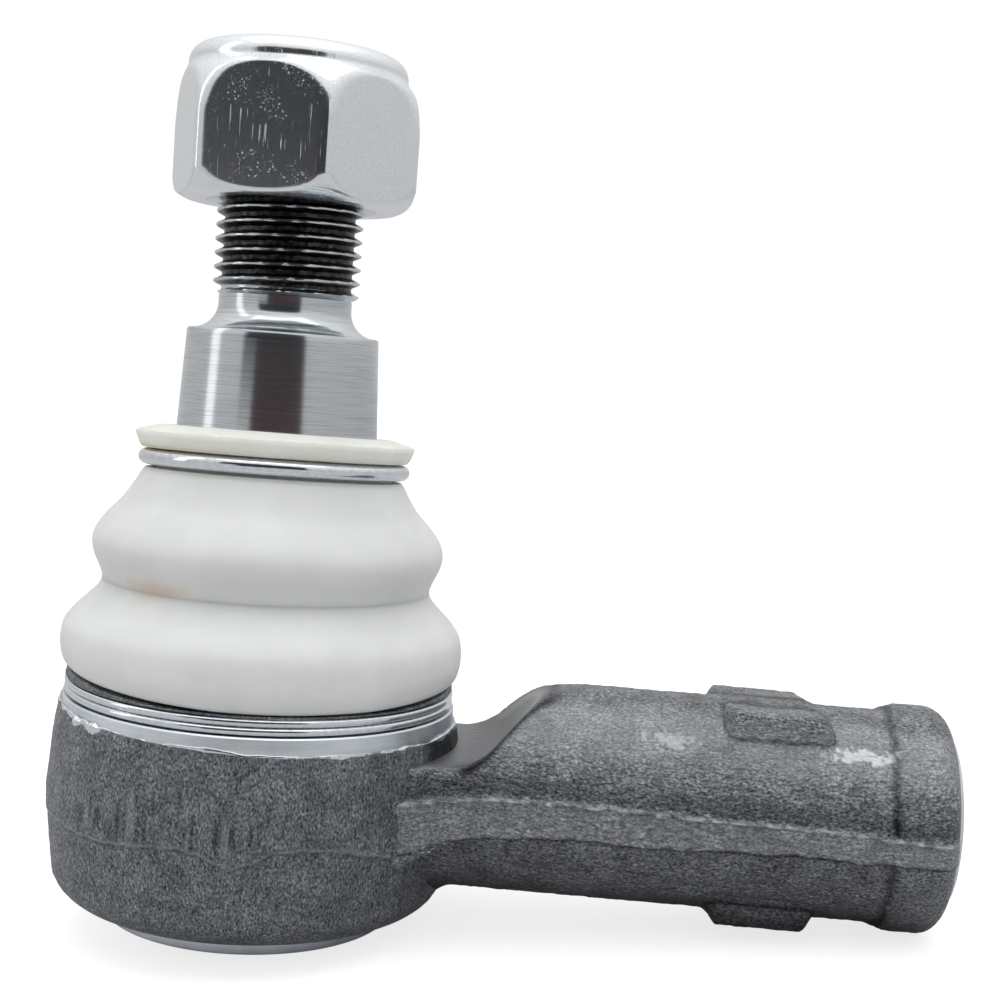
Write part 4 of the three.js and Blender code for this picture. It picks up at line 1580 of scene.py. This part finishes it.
# ---- lock nut -----------------------------------------------------------------------------------
@dataclass(frozen=True)
class LockNut:
    """The lock nut: a chamfered hexagon with a round crown that holds a nylon ring."""

    low: float = 77.6
    high: float = 93.8
    flats: float = 24.0
    turn: float = -5.5
    crown: float = 11.75
    bore: float = 8.05
    cut: float = 0.8

    def hexagon(self, angle: Array) -> Array:
        """Distance to the hexagon's face: half the flats over the cosine from its normal."""
        from_normal = (angle - math.radians(self.turn)) % (math.pi / 3) - math.pi / 6
        return self.flats / 2 / np.cos(from_normal)

    def nut(self, finish: bpy.types.Material) -> bpy.types.Object:
        """The nut: at each height its radius is the smaller of the hexagon and the round outline,
        with the edge between them rounded over. A right-hand thread is cut into the bore.

        Args:
            finish: Zinc plate.

        Returns:
            The piece.
        """
        low, high = self.low, self.high
        outside = finer(np.vstack([
            [[9.2, low], [11.1, low]],
            flowing([(11.4, low + 0.03), (12.3, low + 0.45), (13.1, low + 1.1), (13.7, low + 2.3)], 5),
            [[13.72, high - 8.2]],
            flowing([(13.65, high - 7.4), (13.3, high - 5.4), (12.85, high - 4.0), (12.35, high - 3.15),
                     (12.0, high - 2.75), (self.crown, high - 2.2)], 5),
            arc((self.crown - 1.9, high - 1.9), 1.9, 0, 90, 14),
        ]), 0.3)
        thread = np.linspace(high - 4.6, low + 1.0, 110)
        inside = np.vstack([
            [[9.75, high - 0.02], [9.5, high - 0.3], [9.5, high - 0.8], [10.4, high - 1.1]],
            [[10.4, high - 4.5]],
            np.column_stack([np.full(len(thread), self.bore + self.cut), thread]),
            [[9.2, low]],
        ])
        outline = np.vstack([outside, inside])
        count = 360
        grid = turned(outline, count)
        angle = np.arange(count) * 2 * math.pi / count + math.radians(self.turn)
        round_radius = outline[: len(outside), :1] + np.zeros(count)
        hexagon = smooth_min(round_radius, self.hexagon(angle), 0.4)
        bound = np.where(round_radius > 11.2, hexagon, round_radius)
        rows = slice(len(outside) + 5, len(outside) + 5 + len(thread))
        radius = np.hypot(grid[..., 0], grid[..., 1])
        radius[: len(outside)] = bound
        cut = thread_depth(grid[rows, :, 2], angle, 0.25, 0.2)
        fade = smooth_step(thread, low + 1.0, low + 1.8) * smooth_step(thread, high - 4.6, high - 5.2)
        radius[rows] = self.bore + self.cut - self.cut * (1.0 - cut) * fade[:, None]
        grid = np.stack([radius * np.cos(angle), radius * np.sin(angle), grid[..., 2]], axis=-1)
        return make_piece("lock_nut_plated", [closed_surface(grid, True)], finish, crease=40.0)

    def insert(self, finish: bpy.types.Material) -> bpy.types.Object:
        """The nylon ring, a ring outline turned about Z.

        Args:
            finish: Nylon.

        Returns:
            The piece.
        """
        high = self.high
        outline = finer(np.array([
            (10.1, high - 4.3), (10.1, high - 1.6), (9.95, high - 1.35), (9.5, high - 1.1),
            (8.7, high - 1.05), (8.35, high - 1.25), (8.25, high - 1.6), (8.25, high - 4.3),
            (10.1, high - 4.3),
        ]), 0.5)
        return make_piece("nut_insert_moulded", [closed_surface(turned(outline, 144), True)], finish)

    def build(self, finishes: Finishes) -> list[bpy.types.Object]:
        """Builds the nut and its ring and fits them.

        Args:
            finishes: All finishes of the part.

        Returns:
            The pieces.
        """
        nut, ring = self.nut(finishes.zinc), self.insert(finishes.nylon)
        fit(nut, Body.NUT, Slot.ZINC, "lock_nut")
        fit(ring, Body.NUT_RING, Slot.NYLON, "nut_insert")
        return [nut, ring]


@dataclass(frozen=True)
class InnerPieces:
    """The plastic seats and the preload spring: CAD shapes that only need their finishes."""

    def build(self, finishes: Finishes) -> list[bpy.types.Object]:
        """Gives each CAD node inside the head its own finish.

        Args:
            finishes: All finishes of the part.

        Returns:
            The pieces.
        """
        dressed = {
            "preload_spring": finishes.spring,
            "lower_ball_seat": finishes.acetal,
            "upper_ball_seat": finishes.acetal,
        }
        for name, finish in dressed.items():
            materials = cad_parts[name].data.materials
            materials.clear()
            materials.append(finish)
        return [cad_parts[name] for name in dressed]


# ---- studio -------------------------------------------------------------------------------------
@dataclass(frozen=True)
class Lamp:
    """A soft panel of light, aimed at the part. Places are in metres."""

    name: str
    place: tuple[float, float, float]
    size: tuple[float, float]
    power: float
    tint: str = "#ffffff"

    def hang(self, aim: Vector) -> None:
        """Puts the lamp at its place.

        Args:
            aim: What it faces, in metres.
        """
        light = bpy.data.lights.new(self.name, "AREA")
        light.shape = "RECTANGLE"
        light.size, light.size_y = self.size
        light.energy = self.power
        light.color = linear(self.tint)[:3]
        lamp = bpy.data.objects.new(self.name, light)
        lamp.location = self.place
        lamp.rotation_euler = (aim - Vector(self.place)).to_track_quat("-Z", "Y").to_euler()
        bpy.context.scene.collection.objects.link(lamp)


@dataclass(frozen=True)
class Studio:
    """A pale table under a white tent whose dark opening is behind the camera.

    Lamps and openings are in metres; an opening is (name, left edge, foot, top, colour).
    """

    aim: tuple[float, float, float] = (24.88, 1.29, 47.41)
    distance: float = 171.65
    azimuth: float = 2.97
    elevation: float = 4.58
    roll: float = 4.21
    lens: float = 56.1
    tilt: float = 4.2
    rest_x: float = 16.1
    brightness: tuple[float, float] = (0.64, 1.2)
    lamps: tuple[Lamp, ...] = (
        Lamp("left_panel", (-0.62, -0.18, 0.3), (0.16, 0.7), 0.33),
        Lamp("top_panel", (0.02, -0.12, 0.8), (0.9, 0.6), 2.0),
    )
    openings: tuple[tuple[str, float, float, float, str], ...] = (
        ("tent_opening", -0.18, -0.14, 0.1, "#553c3f"),
        ("tent_opening_above", -0.34, 0.1, 0.36, "#323335"),
    )

    def camera(self) -> None:
        """Makes the camera: it stands off from the aim by azimuth and elevation, then rolls."""
        azimuth, elevation = math.radians(self.azimuth), math.radians(self.elevation)
        back = Vector((math.sin(azimuth) * math.cos(elevation),
                       -math.cos(azimuth) * math.cos(elevation), math.sin(elevation)))
        place = (Vector(self.aim) + back * self.distance) * MM
        turn = (-back).to_track_quat("-Z", "Y").to_matrix() @ Matrix.Rotation(math.radians(self.roll), 3, "Z")
        data = bpy.data.cameras.new("camera")
        data.sensor_width, data.lens = 36.0, self.lens
        data.clip_start, data.clip_end = 0.01, 50.0
        camera = bpy.data.objects.new("camera", data)
        camera.matrix_world = Matrix.Translation(place) @ turn.to_4x4()
        bpy.context.scene.collection.objects.link(camera)
        bpy.context.scene.camera = camera

    def card(
        self, name: str, corners: Sequence[tuple[float, float, float]], code: str, glow: float = 0.0
    ) -> bpy.types.Object:
        """A flat matt card, which may glow like a light table.

        Args:
            name: Its name.
            corners: Its four corners, in metres.
            code: Its colour.
            glow: Strength of its own white light.

        Returns:
            The card, marked as part of the stage.
        """
        mesh = bpy.data.meshes.new(name)
        mesh.from_pydata(corners, [], [(0, 1, 2, 3)])
        material = bpy.data.materials.new(name)
        material.use_nodes = True
        shader = material.node_tree.nodes["Principled BSDF"]
        shader.inputs["Base Color"].default_value = linear(code)
        shader.inputs["Roughness"].default_value = 0.9
        shader.inputs["Emission Color"].default_value = linear("#ffffff")
        shader.inputs["Emission Strength"].default_value = glow
        mesh.materials.append(material)
        card = bpy.data.objects.new(name, mesh)
        bpy.context.scene.collection.objects.link(card)
        return card

    def floor(self, name: str, code: str, below: float, glow: float = 0.0) -> bpy.types.Object:
        """A wide floor, tilted so that the rim and the collar's underside rest on it: its height is
        the distance from where the rim rests times the tilt's tangent.

        Args:
            name: Its name.
            code: Its colour.
            below: How far it lies under the part, in metres.
            glow: Strength of its own white light.

        Returns:
            The floor.
        """
        half, slope = 4.0, math.tan(math.radians(self.tilt))
        corners = [(x, y, (x - self.rest_x * MM) * slope - below)
                   for x, y in ((-half, -half), (half, -half), (half, half), (-half, half))]
        return self.card(name, corners, code, glow)

    def tent(self) -> None:
        """The white surroundings: plain white for the camera, and for all other rays a brightness
        that climbs from the tent's sides to its ceiling."""
        world = bpy.data.worlds.new("white_tent")
        world.use_nodes = True
        tree = world.node_tree
        towards = add_node(tree, "TexCoord").outputs["Generated"]
        up = add_node(tree, "SeparateXYZ", {0: towards}).outputs["Z"]
        low, high = self.brightness
        shade = add_node(tree, "MapRange", {"Value": up, 1: 0.15, 2: 0.9, 3: low, 4: high}).outputs[0]
        seen = add_node(tree, "LightPath").outputs["Is Camera Ray"]
        strength = add_node(tree, "Mix", {0: seen, 2: shade, 3: 1.05}, data_type="FLOAT").outputs[0]
        background = tree.nodes["Background"]
        background.inputs["Color"].default_value = linear("#ffffff")
        tree.links.new(strength, background.inputs["Strength"])
        bpy.context.scene.world = world

    def build(self) -> None:
        """Sets up the camera, the tent, its dark opening, the floor and the lamps. The camera sees a
        glowing table; the light that the floor sends back comes from a grey sheet just under it."""
        self.camera()
        self.tent()
        table = self.floor("table", "#a6a6a6", 0.0001, glow=0.76)
        table.visible_glossy = table.visible_diffuse = table.visible_shadow = False
        self.floor("table_sheet", "#bcbcbe", 0.0012).visible_camera = False
        for name, left, low, high, code in self.openings:
            opening = self.card(name, [(left, -0.48, low), (0.34, -0.44, low), (0.34, -0.44, high),
                                       (left, -0.48, high)], code)
            opening.visible_camera = opening.visible_diffuse = False
        aim = Vector(self.aim) * MM
        for lamp in self.lamps:
            lamp.hang(aim)
        bpy.context.scene.view_settings.view_transform = "Standard"


def main() -> None:
    """Builds the studio and every sub-assembly in order, and reports each piece."""
    logging.basicConfig(level=logging.INFO, format="%(name)s: %(message)s")
    Studio().build()
    finishes = Finishes()
    for assembly in (Housing(), ClosingCover(), InnerPieces(), BallStud(), Boot(), LockNut()):
        for piece in assembly.build(finishes):
            LOG.info("%s: %d faces", piece.name, len(piece.data.polygons))


if __name__ == "__main__":
    main()
